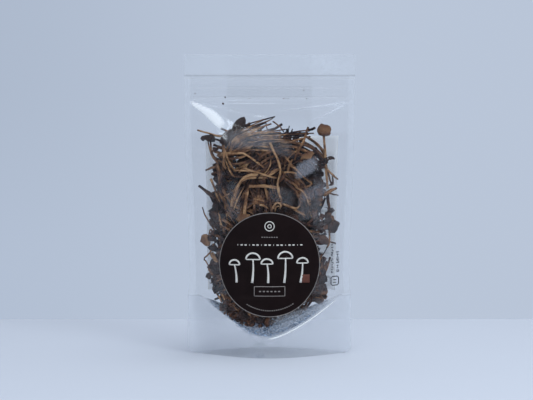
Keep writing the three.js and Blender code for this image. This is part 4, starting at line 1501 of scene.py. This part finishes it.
# Painted highlights: bright lines along the creases that fall from the zip's ends.
corner = (ZIP_HALF_LENGTH + 2.5, ROOF_TOP - 0.5)
creases = [
    (*corner, 187, 0.9, 58, 0.16),
    (*corner, 207, 0.9, 32, 0.18),
    (*corner, 196, 5, 16, 0.05),
    (-corner[0], corner[1], -9, 0.9, 40, 0.08),
]
film_finish = clear_film("pouch film", 0.003, lines=seams, creases=creases)
gusset_finish = clear_film("gusset film", 0.02, shine=0.012)
panel("front_sheet", -1, film_finish)
panel("back_sheet", 1, film_finish)
gusset(gusset_finish)
bead_finish = clear_film("melted seal", 0.004, shine=0.003)
seal_bead("front_seal_bead", -1, bead_finish)
seal_bead("back_seal_bead", 1, bead_finish)
zip_lines = [
    (ZIP_LOW + 0.5, 0.5, 0.05, 0.95),
    (ZIP_LOW + 1.5, 0.5, 0.03, 0.3),
    (ZIP_HIGH - 0.6, 0.5, 0.05, 0.95),
]
zip_finish = clear_film("zip plastic", 0.001, (1.0, 1.0, 1.0), zip_lines, shine=0.006)
for node in ("zip_rib", "zip_jaws"):
    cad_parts[node].data.materials.clear()
    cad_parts[node].data.materials.append(zip_finish)

round_label(label_paper("dark label paper", (0.013, 0.007, 0.007), (0.009, 0.005, 0.005), 0.03, 0.42, 0.06))
back_label(label_paper("pale label paper", (0.96, 0.95, 0.95), (0.92, 0.91, 0.92), 0.05, 0.7, 0.3, 1.2))
round_print(
    ink("cream ink", (0.78, 0.74, 0.68)),
    ink("faint ink", (0.32, 0.28, 0.26)),
    ink("stamp ink", (0.13, 0.035, 0.02)),
)
back_print(ink("dark ink", (0.03, 0.03, 0.04)))
film_print(ink("grey ink", (0.03, 0.033, 0.045)))

heap = Heap()
for route, half, radius in solid_bundles():
    heap.mushroom(route, half, rng.uniform(0.3, 0.6), ("fold", radius) if radius else None)
heap.by_hand(STANDING)
heap.by_hand(LYING)
for entry in FANS:
    heap.by_hand(fan(*entry))
heap.loose_caps(LOOSE_CAPS)
for entry in CLUSTERS:
    heap.loose_caps(cluster(*entry))
for bundles in STREWN:
    for entry in wild_bundles(*bundles):
        heap.mushroom(*entry, STREWN_KINK)
piece("heap_stems", heap.stems, stem_skin(), ["enoki_heap"])
cap_finish = cap_skin()
piece("heap_caps", heap.caps, cap_finish, ["enoki_heap"])
heart(shaded_heart_skin())

spots = [(-32.5, 175.5, 0.4, 0.9), (-52, 182.5, 0.3, 0.4), (-31, 180, 0.3, 0.5), (-14, 179, 0.3, 0.4)]
spots += [(10, 179, 0.3, 0.5), (13, 179, 0.3, 0.4), (24, 184.8, 0.3, 0.4), (26, 179, 0.3, 0.45)]
HEAPED_CRUMBS = 260  # at the left, where they gather behind the front film
FAR_CRUMBS = 70  # further back
for i in range(HEAPED_CRUMBS):
    x = clamp(rng.gauss(-21, 8), -34, -3)
    depth = rng.uniform(0.6, 7)
    up = rng.uniform(0, 3) + 3 * hill(x, -8, 8)
    spots.append((x, front_floor(x, depth) + up, depth, rng.uniform(0.3, 1.3)))
for i in range(FAR_CRUMBS):
    x = rng.uniform(-10, 20)
    depth = rng.uniform(7, 18)
    spots.append((x, front_floor(x, depth) + rng.uniform(-0.5, 4), depth, rng.uniform(0.6, 2)))
crumbs(cap_finish, spots)

# ------------------------------------------------------------------ floor, lights and camera
FLOOR_BEHIND = 162  # the floor ends here, against the even light of the studio
STUDIO = 1500


def studio_floor(finish):
    """The pale floor, which isn't part of the object."""
    bm = bmesh.new()
    bmesh.ops.create_grid(bm, x_segments=1, y_segments=1, size=STUDIO * MM)
    for vert in bm.verts:
        if vert.co.y > 0:
            vert.co.y = FLOOR_BEHIND * MM
    mesh = bpy.data.meshes.new("floor")
    bm.to_mesh(mesh)
    bm.free()
    mesh.materials.append(finish)
    obj = bpy.data.objects.new("floor", mesh)
    bpy.context.collection.objects.link(obj)


def softbox(name, place, aim, size, power, colour, mirrored):
    """An area light; mirrored says whether the film shows its reflection."""
    data = bpy.data.lights.new(name, "AREA")
    data.shape = "RECTANGLE"
    data.size, data.size_y = size[0] * MM, size[1] * MM
    data.energy = power
    data.color = colour
    obj = bpy.data.objects.new(name, data)
    obj.location = metres(*place)
    obj.rotation_euler = (metres(*aim) - obj.location).to_track_quat("-Z", "Y").to_euler()
    obj.visible_glossy = mirrored
    bpy.context.collection.objects.link(obj)
    return obj


class Air(Finish):
    """The light all round the studio, worked out from the way that it comes."""

    def __init__(self, name):
        self.world = bpy.data.worlds.new(name)
        self.world.use_nodes = True
        self.tree = self.world.node_tree
        self.tree.nodes.clear()

    def done(self, shader):
        self.node("ShaderNodeOutputWorld", {}, {0: shader})
        return self.world


def studio_air(left, right):
    """Even behind the pouch, a little brighter on the right and much darker in front."""
    air = Air("studio air")
    way = air.node("ShaderNodeTexCoord", output="Generated")
    across = air.node("ShaderNodeSeparateXYZ", {}, {0: way}, "X")
    back = air.node("ShaderNodeSeparateXYZ", {}, {0: way}, "Y")
    up = air.node("ShaderNodeSeparateXYZ", {}, {0: way}, "Z")
    lower_left = rgb(*(1.07 * c for c in left))
    left_side = air.blend(air.step(up, -0.11, 0.06), lower_left, rgb(*left))
    colour = air.blend(air.step(across, -0.27, 0.06), left_side, rgb(*right))
    strength = 1 - 0.88 * air.step(0 - back, 0.0, 0.85)
    return air.done(air.node("ShaderNodeBackground", {}, {"Color": colour, "Strength": strength}))


studio_floor(studio_paint("floor paint", (0.612, 0.62, 0.665)))
SOFT_WHITE = (0.84, 0.93, 1.0)
softbox("overhead", (250, -150, 1300), (0, 0, 60), (1100, 900), 10, SOFT_WHITE, False)
softbox("right_front", (900, -900, 700), (0, 0, 90), (500, 500), 5, SOFT_WHITE, False)
softbox("front_fill", (-300, -1200, 500), (0, 0, 90), (900, 600), 5, SOFT_WHITE, False)
glint = softbox("left_glint", (-410, -810, 890), (-40, -6, 167), (750, 750), 9, SOFT_WHITE, True)
glint.visible_diffuse = False
bpy.context.scene.world = studio_air((0.415, 0.485, 0.605), (0.487, 0.560, 0.685))

CAMERA_BACK = 850
CAMERA_HEIGHT = 149
CAMERA_ASIDE = -2.1
CAMERA_DIP = 2.76
CAMERA_LENS = 81.8
camera_data = bpy.data.cameras.new("camera")
camera_data.sensor_width = 36
camera_data.lens = CAMERA_LENS
camera_data.clip_end = 20
camera = bpy.data.objects.new("camera", camera_data)
camera.location = metres(CAMERA_ASIDE, -CAMERA_BACK, CAMERA_HEIGHT)
camera.rotation_euler = (math.radians(90 - CAMERA_DIP), 0, 0)
bpy.context.collection.objects.link(camera)
bpy.context.scene.camera = camera

bpy.context.scene.view_settings.view_transform = "Standard"
bpy.context.scene.cycles.transparent_max_bounces = 32
bpy.context.scene.cycles.max_bounces = 8
